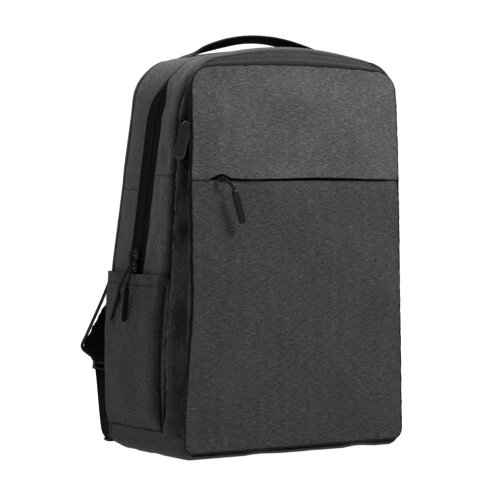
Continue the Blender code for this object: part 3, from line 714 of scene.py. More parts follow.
def make_lint():
    """Settled dust and lint: bright flecks where a fine noise peaks, thinned by a broad noise."""
    b, given, out = group(
        "lint",
        [("Vector", VECTOR, None), ("Color", COLOUR, None), ("Amount", NUMBER, 0.1)],
        [("Color", COLOUR)]
    )
    fleck = b.remap(b.noise(given["Vector"], 620.0, 2.0, 0.7), 0.62, 0.75)
    patch = b.remap(b.noise(given["Vector"], 18.0, 2.0), 0.35, 0.75)
    share = b.math("MULTIPLY", b.math("MULTIPLY", fleck, patch), given["Amount"])
    b.tree.links.new(b.mix(share, given["Color"], (0.30, 0.295, 0.285, 1)), out["Color"])


def material(
    name, source="UV", group_name=None, values=None, bump_size=0.0, distance=0.0002, lint=0.0,
    painted_fold_shade=0.0, **shader
):
    """A Principled material whose colour, roughness and bump come from a shared group on the
    piece's UV or Object coordinates."""
    made = bpy.data.materials.new(name)
    made.use_nodes = True
    b = Board(made.node_tree)
    principled = made.node_tree.nodes["Principled BSDF"]
    for key, value in shader.items():
        principled.inputs[key.replace("_", " ").title().replace("Ior", "IOR")].default_value = value
    if source == "UV":
        vector = b.add("ShaderNodeUVMap", uv_map="cloth").outputs[0]
    else:
        vector = b.add("ShaderNodeTexCoord").outputs["Object"]
    if source == "Upright":  # X and Z lie in the cloth
        parts = b.add("ShaderNodeSeparateXYZ", {0: vector}).outputs
        vector = b.add("ShaderNodeCombineXYZ", {0: parts[0], 1: parts[2], 2: parts[1]}).outputs[0]
    if group_name:
        node = b.add("ShaderNodeGroup", node_tree=bpy.data.node_groups[group_name])
        b.tree.links.new(vector, node.inputs["Vector"])
        for key, value in (values or {}).items():
            node.inputs[key].default_value = value
        colour = node.outputs["Color"]
        if lint:
            dust = b.add("ShaderNodeGroup", node_tree=bpy.data.node_groups["lint"])
            b.tree.links.new(vector, dust.inputs["Vector"])
            b.tree.links.new(colour, dust.inputs["Color"])
            dust.inputs["Amount"].default_value = lint
            colour = dust.outputs["Color"]
        # painted shade: the point attribute darkens the colour towards black in folds, valleys and
        # recesses
        if painted_fold_shade:
            painted_shade_mask = b.add("ShaderNodeAttribute", attribute_name="painted_fold_shade").outputs["Fac"]
            colour = b.mix(b.math("MULTIPLY", painted_shade_mask, painted_fold_shade), colour, (0.0012, 0.0012, 0.0012, 1))
        b.tree.links.new(colour, principled.inputs["Base Color"])
        if "Roughness" in node.outputs:
            b.tree.links.new(node.outputs["Roughness"], principled.inputs["Roughness"])
        if bump_size:
            relief = b.add(
                "ShaderNodeBump",
                {"Strength": bump_size, "Distance": distance, "Height": node.outputs["Height"]}
            )
            b.tree.links.new(relief.outputs[0], principled.inputs["Normal"])
    return made


def make_materials(colours):
    """The shared patterns first, then every look."""
    for make in (
        make_melange_weave, make_webbing_ribs, make_spacer_mesh, make_fine_grain, make_lint
    ):
        make()
    make_cloths(colours)
    make_woven_trims()
    make_moulded(colours)


def make_cloths(colours):
    """The two-tone cloth in several lit and shaded copies, the lining, and the air mesh."""
    cloth = {"Light": (*colours.yarn_light, 1), "Dark": (*colours.yarn_dark, 1), "Slub": 1.0}
    weave = {
        "group_name": "melange_weave", "bump_size": 0.55, "distance": 0.00035, "sheen_weight": 0.03,
        "sheen_roughness": 0.5, "specular_ior_level": 0.10
    }
    # Shade scales one cloth's colour: painted light on the upper front copy, painted shade on the
    # pocket copy used for the side pockets and the base; the last column is the painted fold
    # shade's strength
    for name, shade, lint, fold_shade_level in (
        ("melange_cloth", 1.04, 0.05, 0.93),
        ("melange_lower", 0.98, 0.05, 0.93),
        ("melange_pocket", 0.72, 0.04, 0.93),
        ("melange_pleat", 1.0, 0.0, 0.93),
        ("melange_front", 1.42, 0.05, 0.0),
        ("melange_binding", 0.45, 0.05, 0.0),
    ):
        material(name, values={**cloth, "Shade": shade}, lint=lint, painted_fold_shade=fold_shade_level, **weave)
    material("strap_cloth", source="Upright", values={**cloth, "Shade": 0.9}, **weave)
    lining = {"Light": (0.10, 0.10, 0.105, 1), "Dark": (0.05, 0.05, 0.052, 1), "Slub": 0.4}
    material("lining_cloth", values=lining, **weave)
    mesh = {
        "Pitch": sizes().mesh_pitch,
        "Yarn": (0.0045, 0.0045, 0.0046, 1),
        "Hole": (0.0008, 0.0008, 0.0008, 1)
    }
    material(
        "spacer_fabric", source="Object", group_name="spacer_mesh", values=mesh, bump_size=0.8,
        distance=0.0008, roughness=0.95, specular_ior_level=0.05
    )


def make_woven_trims():
    """Black webbing, zip tape, seam thread and cord: light, dark, rib pitch, relief, its depth,
    roughness, specular and lint."""
    for name, light, dark, rib, relief, distance, roughness, specular, lint in (
        ("strap_webbing", (0.009, 0.009, 0.0092, 1), 0.002, 0.0016, 0.7, 0.0003, 0.9, 0.15, 0.01),
        (
            "zip_tape_cloth", (0.0032, 0.0032, 0.0033, 1), 0.0014, 0.0009, 0.5, 0.0002, 0.95, 0.05,
            0.0
        ),
        ("seam_thread", (0.008, 0.008, 0.008, 1), 0.002, 0.0006, 0.4, 0.0002, 0.9, 0.15, 0.0),
        ("pull_cord", (0.006, 0.006, 0.006, 1), 0.002, 0.0007, 0.6, 0.0002, 0.8, 0.2, 0.0),
    ):
        values = {"Light": light, "Dark": (dark, dark, dark, 1), "Rib": rib}
        material(
            name, group_name="webbing_ribs", values=values, bump_size=relief, distance=distance,
            roughness=roughness, specular_ior_level=specular, lint=lint
        )


def make_moulded(colours):
    """Threads, rubber, plastic, metal and board: base colour, grain scale, roughness, wear,
    relief and specular."""
    for name, base, scale, roughness, wear, relief, specular in (
        ("sewing_thread", (0.035, 0.035, 0.036), 1500.0, 0.75, 0.0, 0.2, 0.3),
        ("pale_thread", (0.16, 0.16, 0.162), 1500.0, 0.6, 0.0, 0.2, 0.4),
        ("coil_nylon", (0.0035, 0.0035, 0.0035), 900.0, 0.75, 0.0, 0.1, 0.04),
        ("black_metal", (0.005, 0.005, 0.0052), 700.0, 0.34, 0.01, 0.06, 0.15),
        ("grip_rubber", colours.trim, 1600.0, 0.45, 0.0, 0.12, 0.16),
        ("port_rubber", (0.0065, 0.0065, 0.0067), 1600.0, 0.42, 0.01, 0.12, 0.30),
        ("port_seat", (0.0018, 0.0018, 0.0018), 900.0, 0.85, 0.0, 0.2, 0.05),
        ("tongue_plastic", (0.02, 0.02, 0.02), 900.0, 0.5, 0.1, 0.1, 0.5),
        ("buckle_plastic", (0.05, 0.05, 0.052), 500.0, 0.42, 0.08, 0.15, 0.5),
        ("fibre_board", (0.22, 0.20, 0.17), 400.0, 0.8, 0.15, 0.3, 0.5),
        ("socket_steel", (0.6, 0.6, 0.61), 900.0, 0.25, 0.1, 0.05, 0.5),
        ("studio_white", (0.24, 0.24, 0.24), 40.0, 0.9, 0.0, 0.0, 0.1),
    ):
        values = {"Base": (*base, 1), "Scale": scale, "Rough": roughness, "Wear": wear}
        extra = {
            "socket_steel": {"metallic": 1.0},
            "studio_white": {"emission_color": (1, 1, 1, 1), "emission_strength": 0.98}
        }.get(name, {})
        material(
            name, source="Object", group_name="fine_grain", values=values, bump_size=relief,
            specular_ior_level=specular, **extra
        )


# ---------------------------------------------------------------- pieces
def ragged(path, seed, size=0.0004):
    """The path shifted a little at random: two ripples along its length."""
    s = np.arange(len(path)) * 0.0025
    shift = np.stack([ripple(s, 0 * s, 0.02, seed + k, 8) for k in range(3)], 1)
    return path + shift * size


def hem(z):
    """Half width of the zip that shows: all of it down the sides, and nothing near the top,
    where the two bands meet over it."""
    return ZIP_HALF * (1 - ease((z - 0.398) / 0.036)) + 0.0004


def build_shell():
    """Both bands, the lower sides, the base and the back."""
    rim = BODY.rim(ZIP_FOOT)
    rear = [
        station(rim, lambda z: at(BACK_LINE, z, -0.006), 0.0030),
        station(rim, lambda z: at(BACK_LINE, z, -FOAM), 0.0004),
        station(rim, lambda z: at(BACK_LINE, z, -0.022), -0.0012),
        station(rim, lambda z: at(ZIP_LINE, z, ZIP_HALF + 0.012), -0.0012),
        station(rim, lambda z: at(ZIP_LINE, z) + hem(z) + 0.0009, 0.0001),
        station(rim, lambda z: at(ZIP_LINE, z) + hem(z) + 0.0001, 0.0016),
    ]
    p = spline(rear, 30)
    n = normals_of(p)
    z = p[..., 2]
    share = np.sin(np.linspace(0, np.pi, 30))[:, None]
    calm = 0.25 + 0.75 * ease((0.455 - z) / 0.05)
    p = p + n * (ripple(p[..., 1], z, 0.05, 3) * 0.0006 * share * calm)[..., None]
    sewn(skin("rear_band", p, "melange_cloth", wall=SHELL - 0.0006, inside=DIM), "rear_gusset")
    hem_stitches("rear_band_stitches", p, -4)
    band_seams("rear_band_seam", p, 0.305, -1)

    valley = lambda z, add=0.0: at(VALLEY_LINE, z, add)
    between = lambda share: (lambda z: at(ZIP_LINE, z, -ZIP_HALF) * (1 - share) + valley(z) * share)
    fore = [
        station(rim, lambda z: at(ZIP_LINE, z) - hem(z) - 0.0001, 0.0016),
        station(rim, lambda z: at(ZIP_LINE, z) - hem(z) - 0.0009, 0.0001),
        station(rim, between(0.30), -0.0016),
        station(rim, between(0.68), -0.0022),
        station(rim, between(0.90), -0.0004),
        station(rim, lambda z: valley(z, 0.0002), VALLEY_DEPTH),
    ]
    p = spline(fore, 28)
    n = normals_of(p)
    z = p[..., 2]
    share = np.sin(np.linspace(0, np.pi, 28))[:, None]
    p = (
        p
        + n
        * (
            ripple(p[..., 1] * 2, z, 0.045, 8)
            * 0.0006
            * share
            * (0.3 + 0.7 * ease((0.455 - z) / 0.05))
        )[..., None]
    )
    band = skin("front_band", p, "melange_cloth", wall=SHELL - 0.0008, inside=DIM)
    # painted shade: the front band darkens towards the valley and in a strip beside the zip, less
    # on the crown
    painted_fold_shade(
        band,
        (
            0.97 * ease((np.linspace(0, 1, 28)[:, None] - 0.56) / 0.42) ** 1.4
            + 0.5 * bump(np.linspace(0, 1, 28)[:, None], 0.05)
        )
        * (1 - top_share(z))
    )
    sewn(band, "front_gusset")
    hem_stitches("front_band_stitches", p, 3)
    band_seams("front_band_seam", p, 0.318, 1)

    for side, name in ((-1, "left"), (1, "right")):
        z = np.linspace(SEAM_LOW + GAP, ZIP_FOOT + 0.002, 80)[:, None]
        s = spread(0, 1, 60)[None, :]
        y = at(BACK_LINE, z, -FOAM) * (1 - s) + at(VALLEY_LINE, z, 0.0003) * s
        belly = 0.0012 * np.sin(np.pi * s) * np.sin(np.pi * (z - SEAM_LOW) / 0.2)
        fold = 0.0020 * ease((s - 0.93) / 0.07) + 0.0008 * ease((0.04 - s) / 0.04)
        x = BODY.half(z) + belly - fold + ripple(y, z, 0.05, 11 + side) * 0.0004 * np.sin(np.pi * s)
        p = np.stack([side * x, y + 0 * x, z + 0 * x], 2)
        sewn(
            skin(f"side_wall_{name}", p, "melange_cloth", wall=SHELL - 0.0006, inside=DIM),
            f"side_panel_{name}"
        )
    build_base()
    build_back_panel()


def outwards(p):
    """Unit normals of a grid, turned away from the middle of the bag."""
    n = normals_of(p)
    return n * np.sign((n * (p - DIM)).sum(2, keepdims=True))


def hem_stitches(name, p, row):
    """Stitches along one row of a band's points."""
    sewn(stitches(name, [(p[row], outwards(p)[row])], "seam_thread"))


def band_seams(name, p, height, away):
    """A sewn joint across a band on each side: a thread laid along the row of points at one
    height, sagging a little."""
    runs = []
    half = p.shape[1] // 2
    for side, columns in (("left", slice(0, half)), ("right", slice(half, None))):
        part = p[:, columns]
        z = part[..., 2].mean(0)
        column = int(np.argmin(np.abs(z - height)))
        n = outwards(p)[:, columns][:, column]
        path = part[2:-2, column] + n[2:-2] * -0.0001
        path[:, 2] += 0.0012 * np.sin(np.linspace(0, np.pi, len(path))) * away
        sewn(tube(f"{name}_{side}", even(path, 40), 0.00045, "seam_thread", 6, (1, 0, 0)))
        runs.append((path + (0, 0, 0.0024), n[2:-2]))
    sewn(stitches(f"{name}_stitches", runs, "seam_thread"))


def base_rise(y):
    """The base lifts off the floor towards the front and, less, towards the back."""
    return (
        0.0075 * (1 - np.sqrt(1 - np.clip((-0.0745 - y) / 0.0115, 0, 1) ** 2))
        + 0.003 * ease((y - 0.055) / 0.03)
    )


def build_base():
    """The base: a U section with round corners, carried from back to front, lifted at both ends
    and drawn in at the front."""
    r = 0.014
    a = np.linspace(0, np.pi / 2, 14)
    half = BODY.half(0.0)
    up = np.linspace(SEAM_LOW, r, 10, endpoint=False)
    x = np.concatenate([BODY.half(up), half - r + r * np.cos(a), np.linspace(half - r, 0, 50)[1:]])
    z = np.concatenate([up, r - r * np.sin(a), np.zeros(49)])
    x, z = np.concatenate([-x, x[-2::-1]]), np.concatenate([z, z[-2::-1]])
    y = spread(BACK_Y - FOAM - GAP, FRONT_Y + 0.0030, 90, 0.4)[:, None]
    share = np.clip(z / SEAM_LOW, 0, 1)[None, :]
    tuck = 0.006 * (1 - np.sqrt(1 - np.clip((FRONT_Y + 0.020 - y) / 0.018, 0, 1) ** 2))
    lift = base_rise(y) * (1 - share)
    sag = ripple(x[None, :] + 0 * y, y + 0 * x[None, :], 0.06, 21) * 0.0005 * (1 - share)
    px = x[None, :] * (1 - tuck / half)
    p = np.stack([px, y + 0 * px, z[None, :] + lift + np.maximum(sag, -0.0001) + 0.0001], 2)
    # painted shade: the base takes the darker pocket copy of the cloth
    sewn(skin("base", p, "melange_pocket", wall=SHELL - 0.0006, inside=DIM), "bottom_panel")
    for side, name in ((-1, "left"), (1, "right")):
        run = np.linspace(BACK_Y - FOAM, -0.078, 60)
        path = np.stack(
            [side * (BODY.half(SEAM_LOW) + 0.0002 + 0 * run), run, SEAM_LOW + 0.0004 + 0 * run], 1
        )
        sewn(tube(f"base_seam_{name}", ragged(path, 5 + side, 0.00015), 0.0004, "seam_thread", 6))


def build_back_panel():
    """The padded back: rows from foot to crown, rolled in at the rim, with a soft swell."""
    count = 110
    z = spread(0.012, BODY.crown - BODY.arch, count, 0.35)[:, None]
    u = spread(-1, 1, 100, 0.5)[None, :]
    x = BODY.wide(z) * u
    lift = (BODY.top(x) - (BODY.crown - BODY.arch)) * ease((z - BODY.shoulder) / BODY.corner)
    zz = z + lift
    d = np.maximum(BODY.edge(x, zz), 0)
    roll = 0.0045 * (1 - np.sqrt(1 - np.clip(1 - d / 0.0045, 0, 1) ** 2))
    y = at(BACK_LINE, zz) + 0.0015 * ease(d / 0.05) - roll + ripple(x, zz, 0.07, 31) * 0.0005
    p = np.stack([x, y, zz], 2)
    piece = sewn(
        skin("back_wall", p, "melange_cloth", wall=0.006, inside=DIM, uv=np.stack([x, zz], 2)),
        "back_panel"
    )
    rim = BODY.rim(0.02)
    path = station(rim, lambda h: at(BACK_LINE, h, -0.0046), 0.0022)
    sewn(tube("back_binding", even(path, 420), 0.0021, "melange_cloth", 10, (0, 1, 0)))


def build_main_zip():
    """Flat tape and a coil of slanted teeth in two rows."""
    rim = BODY.rim(ZIP_FOOT)
    shares = np.linspace(-1, 1, 15)
    tape = [
        station(
            rim, lambda z, s=s: at(ZIP_LINE, z, -s * (ZIP_HALF + 0.0001)), 0.0010 + 0.0004 * s * s
        )
        for s in shares
    ]
    finish(
        skin("zip_tape", np.stack(tape), "zip_tape_cloth", wall=0.0010, inside=DIM),
        "bag",
        "zip_tape",
        "main_zip_tape"
    )
    fine = even(rim, 3000)
    s = np.arange(3000) * (np.linalg.norm(np.diff(fine, axis=0), axis=1).sum() / 2999)
    v = np.linspace(-1, 1, 13)
    rows = []
    for k in v:
        tooth = 0.5 + 0.5 * np.cos(2 * np.pi * (s / TOOTH + abs(k) * 0.35 + (0.5 if k > 0 else 0)))
        rise = (
            (1 - abs(k) ** 3) * 0.0008
            + 0.0003 * tooth * (1 - bump(k, 0.16)) * (1 - abs(k) ** 6)
            - 0.0004 * bump(k, 0.12)
        )
        base = station(fine, lambda z, k=k: at(ZIP_LINE, z, -k * CHAIN_HALF), 0.0009)
        n = inward(fine)
        base[:, 0] -= n[:, 0] * rise
        base[:, 2] -= n[:, 1] * rise
        rows.append(base)
    finish(
        skin("zip_chain", np.stack(rows), "coil_nylon", wall=0.0005, inside=DIM),
        "bag",
        "zip_coil",
        "main_zip_coil"
    )


def grip(name, top, foot, face, body, node, width=0.0080, thick=0.0048):
    """A moulded rubber grip: rings of a superellipse between two round ends, a little fuller in
    the middle, with a groove down each face."""
    top, foot = np.array(top), np.array(foot)
    down = unit(foot - top)
    face = unit(np.array(face) - down * np.dot(face, down))
    side = np.cross(down, face)
    length = np.linalg.norm(foot - top)
    t = np.linspace(0, np.pi, 44)
    run = (1 - np.cos(t)) / 2
    end = 0.0036
    s = run * length
    near = np.clip(np.minimum(s, length - s) / end, 0, 1)
    full = np.sqrt(np.maximum(1 - (1 - near) ** 2.3, 0.0025))
    a = np.linspace(0, 2 * np.pi, 28, endpoint=False)
    c, q = np.cos(a), np.sin(a)
    w = np.sign(c) * np.abs(c) ** 0.62 * width / 2
    h = np.sign(q) * np.abs(q) ** 0.62 * thick / 2
    groove = 1 - 0.16 * bump(c, 0.42)[None, :] * ease((near - 0.6) / 0.4)[:, None]
    points = (
        top
        + down * s[:, None, None]
        + side * (full[:, None] * w[None])[..., None]
        + face * (full[:, None] * h[None] * groove)[..., None]
    )
    return finish(
        skin(name, points, "grip_rubber", wrap=True, caps=True), body, "pull_rubber", node
    )


def cord_loop(name, points, body, node):
    """A doubled pull cord: one three-lobed tube through the bridge, both of its ends in the
    grip."""
    path = even(spline(points, 160), 110)
    return finish(
        tube(name, path, 0.00095, "pull_cord", 10, (0.1, 0.9, 0.2), twist=900.0),
        body,
        "webbing",
        node
    )


HALF_IN = BODY.half_low - BODY.half_high
ZIP_RUN = unit(np.array([HALF_IN / BODY.shoulder, -0.2, 1.0]))
ZIP_OUT = unit(np.array([-1.0, 0.0, HALF_IN / BODY.shoulder]))


def zip_point(z, out=0.0):
    """A point on the left side's zip line, raised off the cloth."""
    return np.array([-BODY.half(z), at(ZIP_LINE, z), z]) + ZIP_OUT * out


def pull_path(loop, across, route, top, foot, face):
    """The cord's points: up one side from the grip, through the bridge, and down the other."""
    across, loop, top, foot = (
        unit(np.array(across, float)), np.array(loop), np.array(top), np.array(foot)
    )
    down = unit(foot - top)
    narrow = unit(np.cross(down, np.array(face, float))) * 0.0013
    narrow = narrow * (1 if narrow @ across >= 0 else -1)
    sides = across * 0.0023
    widths = [1.0] + [0.55] * (len(route) - 1)
    first = (
        [top + down * 0.0035 - narrow, top - down * 0.0005 - narrow]
        + [np.array(p) - sides * w for p, w in zip(route, widths)][::-1]
    )
    last = (
        [np.array(p) + sides * w for p, w in zip(route, widths)]
        + [top - down * 0.0005 + narrow, top + down * 0.0035 + narrow]
    )
    return first + [loop - sides, loop - sides * 0.35, loop + sides * 0.35, loop + sides] + last


def pull(name, loop, across, route, ends, body, node):
    """A cord through the slider's bridge, and the grip whose top, foot and face direction are
    the ends."""
    cord_loop(f"pull_cord_{name}", pull_path(loop, across, route, *ends), body, f"{node}_cord")
    grip(f"grip_{name}", *ends, body, f"{node}_grip")


def slider_body(
    name, origin, run, out, body, node, half=0.0048, length=0.0125, plate=SLIDER_PLATE,
    rise=SLIDER_RISE, lift=GAP
):
    """A slider: a shield-shaped plate whose half width narrows to its tail, two side lips, and
    an arched bridge along its middle."""
    run, out = unit(run), unit(out)
    side = np.cross(run, out)
    t = np.linspace(0, 1, 26)[:, None]
    a = np.linspace(0, 2 * np.pi, 24, endpoint=False)[None, :]
    c, s = np.cos(a), np.sin(a)
    w = half * (1 - 0.22 * t**2) * (np.sin(np.pi * np.clip(t, 0.02, 0.98)) ** 0.22)
    y = (t - 0.5) * length
    h = plate / 2
    up = np.sign(s) * np.abs(s) ** 0.5 * h * (np.sin(np.pi * np.clip(t, 0.02, 0.98)) ** 0.35)
    wide = np.sign(c) * np.abs(c) ** 0.5 * w
    middle = lift + h
    points = origin + run * y[..., None] + side * wide[..., None] + out * (middle + up)[..., None]
    shell = skin(name, points, "black_metal", wrap=True, caps=True)
    finish(shell, body, "slider_metal", node)
    for k in (-1, 1):
        lip = np.stack(
            [
                origin
                + side * k * (half * 0.86) * (1 - 0.2 * q**2)
                + run * (q - 0.5) * length * 0.78
                + out * (lift - 0.0002)
                for q in np.linspace(0, 1, 12)
            ]
        )
        finish(
            tube(
                f"{name}_lip_{'a' if k < 0 else 'b'}", lip, 0.0008, "black_metal", 8, out, flat=1.4
            ),
            body,
            "slider_metal"
        )
    arc = np.linspace(0, np.pi, 24)[:, None]
    path = (
        origin
        + run * (np.cos(arc) * 0.0046)
        + out * (lift + plate * 0.5 + (rise + plate * 0.5 + 0.0006) * np.sin(arc) ** 0.6)
    )
    finish(tube(f"{name}_bridge", path, 0.00085, "black_metal", 10, side), body, "slider_metal")


def build_main_pulls():
    """Both sliders of the main zip, each with its cord and grip."""
    across = np.cross(ZIP_RUN, ZIP_OUT)
    rise = GAP + SLIDER_PLATE + SLIDER_RISE / 2
    loops = {}
    for level, z in (("lower", 0.2150), ("upper", 0.2300)):
        slider_body(
            f"slider_{level}", zip_point(z, CHAIN_RISE), ZIP_RUN, ZIP_OUT, f"{level}_slider",
            f"main_slider_{level}"
        )
        loops[level] = zip_point(z, CHAIN_RISE + rise)
    for level, raised, below, top, foot, face in (
        (
            "lower", 0.0044, (-0.1592, 0.0370, 0.1995), (-0.1605, 0.0460, 0.1868),
            (-0.1615, 0.0655, 0.1512), (1, 0, 0)
        ),
        (
            "upper", 0.0046, (-0.1605, 0.0185, 0.2060), (-0.1630, 0.0230, 0.1905),
            (-0.1640, 0.0285, 0.1510), (0, 1, 0)
        ),
    ):
        loop = loops[level]
        route = [loop + ZIP_OUT * raised - ZIP_RUN * 0.0020, below]
        pull(level, loop, across, route, (top, foot, face), f"{level}_pull", f"main_pull_{level}")


def lean(z):
    """How far the front leans back near its top."""
    return 0.0035 * ease((z - 0.33) / 0.115)


def pleat_line(share, depth, inset, low):
    """A line of the front pocket's side: the two outlines mixed by share, moved in sideways
    below the corner and down above it."""
    body, face = BODY.rim(low), FACE.rim(low)
    x, z = (body * (1 - share) + face * share).T
    flat = ease((z - 0.40) / 0.045)
    d = at(inset, z) if isinstance(inset, tuple) else inset
    return np.stack(
        [
            x - np.sign(x) * d * (1 - flat),
            at(depth, z) if isinstance(depth, tuple) else depth + 0 * z,
            z - d * flat
        ],
        1
    )


def build_pleats():
    """The bellows side of the front pocket: from the valley out over the ridge, down into the
    recess, and back to the front seam."""
    low = SEAM_LOW - 0.004
    valley = pleat_line(0.0, tuple((z, y - 0.0016) for z, y in VALLEY_LINE), VALLEY_DEPTH, low)
    ridge = pleat_line(1 / 3, RIDGE_LINE, -0.0008, low)
    recess = pleat_line(2 / 3, RECESS_LINE, RECESS_DEPTH, low)
    seam = pleat_line(1.0, FRONT_Y + 0.0034, 0.0030, low)
    behind = pleat_line(1.0, FRONT_Y + 0.0030, 0.0010, low)
    for line in (seam, behind):
        line[:, 1] += lean(line[:, 2])
    mix = lambda a, b, s: a * (1 - s) + b * s
    hollow = pleat_line(2 / 3, RECESS_LINE, HOLLOW_DEPTH, low)
    lines = [
        valley,
        mix(valley, ridge, 0.5) - (0, 0.0006, 0),
        ridge,
        mix(ridge, recess, 0.10),
        mix(ridge, recess, 0.4),
        mix(ridge, recess, 0.70),
        hollow - (0, 0.0005, 0),
        mix(hollow, seam, 0.5) - (0, 0.0003, 0),
        seam,
        behind
    ]
    p = spline(lines, 46)
    z = p[..., 2]
    n = normals_of(p)
    row = np.linspace(0, 1, 46)[:, None]
    left = ease(-p[..., 0] / 0.05)
    port = left * bump(z - 0.3605, 0.034)
    top = ease((0.425 - z) / 0.03)
    size = 0.0011 * np.sin(np.pi * row) * (1 - port) * (0.25 + 0.75 * top)
    p = (
        p
        + n
        * (
            (ripple(z, row * 0.05, 0.055, 41) + 0.5 * ripple(z, row * 0.05, 0.022, 42)) * size
        )[..., None]
    )
    obj = skin("pocket_bellows", p, "melange_pleat", wall=CLOTH, inside=DIM)
    # painted shade: dark in the valley and from past the ridge into the recess, weaker below 0.285
    # m, mottled by a ripple, less on the crown
    down = 1 - top_share(z)
    level = 0.66 + 0.34 * ease((z - 0.285) / 0.03) + 0.10 * ripple(z, row * 0.1, 0.045, 43)
    painted_bellows_shade = (level * ease((row - 0.27) / 0.15) + ease((0.15 - row) / 0.10)) * (0.25 + 0.75 * down)
    sewn(painted_fold_shade(obj, painted_bellows_shade), "front_pocket_gusset")


def top_share(z):
    """1 on the crown, where the bellows lie flat, and 0 down the sides."""
    return ease((z - 0.405) / 0.035)


def face_grid(low, high, columns, rows):
    """Rows of points that fill the front outline between two heights: each row as wide as the
    outline, the top ones bent to its arch."""
    top = FACE.crown - FACE.arch
    z = spread(low, min(high, top), rows, 0.45)[:, None]
    x = FACE.wide(z) * spread(-1, 1, columns, 0.5)[None, :]
    lift = (FACE.top(x) - top) * ease((z - FACE.shoulder) / FACE.corner)
    return x, z + lift * (high >= top)


def pulled(p):
    """The front's left edge is drawn in by the bellows: a shift along X that fades out over 90
    mm."""
    p[..., 0] += at(LEFT_PULL, p[..., 2]) * ease((-p[..., 0] - 0.055) / 0.09)
    return p


def face_depth(x, z):
    """Depth of the front: a shallow pillow that leans back at the top, rolled in at the rim,
    with broad soft waves."""
    d = np.maximum(FACE.edge(x, z), 0)
    roll = 0.0016 * (1 - np.sqrt(1 - np.clip(1 - d / 0.0016, 0, 1) ** 2))
    pillow = 0.0024 * ease(d / 0.045)
    waves = (
        ripple(x * 0.7, z, 0.085, 51) * 0.7 * sizes().wrinkle
        + ripple(x * 1.4, z, 0.035, 52) * 0.25 * sizes().wrinkle
    )
    pinch = (
        ripple(x * 0 + np.where(np.abs(x) > 0.12, z, x), z * 0, 0.016, 53) * 0.0003 * bump(d, 0.010)
    )
    return FRONT_Y + 0.0008 - pillow + roll + lean(z) - waves * ease(d / 0.02) - pinch


def slit_gap(x):
    """How far the upper hem stands over the slit's middle: closed at the left end, open over
    the slider, then a low uneven gap."""
    open_ = 0.0042 * bump(x + 0.1055, 0.0085)
    low = 0.0014 + 0.0007 * ripple(x, 0 * x, 0.07, 61, 6) + 0.0011 * bump(x - 0.015, 0.035)
    return np.clip(
        open_ + np.maximum(low, 0.0004) * ease((x + 0.124) / 0.006) * ease((0.146 - x) / 0.05),
        0.0002,
        None
    )


def build_front():
    """Upper and lower front panels with turned hems at the slit, the rim's seam and the hidden
    zip."""
    x, z = face_grid(FACE.foot, WELT - 0.0004, 130, 150)
    drop = 0.0010 * ease((x + 0.122) / 0.01)
    z = z - drop * ease((z - 0.27) / 0.045)
    y = face_depth(x, z) + 0.0012 * ease((z - (WELT - 0.012)) / 0.012)
    top_row = np.stack([x[-1], y[-1], z[-1]], 1)
    turn = [
        top_row + (0, 0.0010, 0.0004), top_row + (0, 0.0022, -0.0004),
        top_row + (0, 0.0028, -0.0100)
    ]
    p = np.concatenate([np.stack([x, y, z], 2), np.stack(turn)])
    sewn(
        skin(
            "front_lower", pulled(p.copy()), "melange_lower", wall=0.0008, inside=DIM, uv=planar(p)
        ),
        "front_panel_lower"
    )

    x, z = face_grid(WELT, FACE.crown, 130, 90)
    z = z + slit_gap(x) * ease((WELT + 0.030 - z) / 0.030)
    y = face_depth(x, z) - 0.0016 * ease((WELT + 0.02 - z) / 0.02) * ease((0.13 - np.abs(x)) / 0.01)
    first = np.stack([x[0], y[0], z[0]], 1)
    turn = [first + (0, 0.0032, 0.0100), first + (0, 0.0026, 0.0006), first + (0, 0.0012, -0.0004)]
    p = np.concatenate([np.stack(turn), np.stack([x, y, z], 2)])
    # painted light: the upper front takes the brighter copy of the cloth
    sewn(
        skin(
            "front_upper", pulled(p.copy()), "melange_front", wall=0.0008, inside=DIM, uv=planar(p)
        ),
        "front_panel_upper"
    )
    build_front_seams()
    build_slit_zip()


def planar(p):
    """UV in metres straight from X and Z."""
    return p[..., (0, 2)].copy()


def face_rim(count):
    """The whole front outline as one run: up the left side, over the top and down the right,
    then the foot."""
    side = FACE.rim(FACE.foot + FACE.foot_corner, 160, 30, 40)
    a = np.linspace(np.pi / 2, 0, 14)
    r, f = FACE.foot_corner, FACE.half(FACE.foot)
    foot = np.stack([f - r + r * np.sin(a), FACE.foot + r - r * np.cos(a)], 1)
    run = np.linspace(f - r, -(f - r), 80)[1:-1]
    line = np.concatenate(
        [side, foot, np.stack([run, FACE.foot + 0 * run], 1), (foot * (-1, 1))[::-1]]
    )
    return even(line, count)


def build_front_seams():
    """The dark ragged seam round the front."""
    rim = face_rim(620)
    n = inward(rim)
    s = np.arange(620) * 0.0025
    wobble = ripple(s, 0 * s, 0.012, 71, 10) * 0.00022
    path = np.stack(
        [
            rim[:, 0] + n[:, 0] * (0.0008 + wobble),
            FRONT_Y + 0.0016 + lean(rim[:, 1]),
            rim[:, 1] - n[:, 1] * (0.0003 + wobble)
        ],
        1
    )
    sewn(tube("front_seam", pulled(path), 0.0012, "seam_thread", 8, (0, 1, 0)))


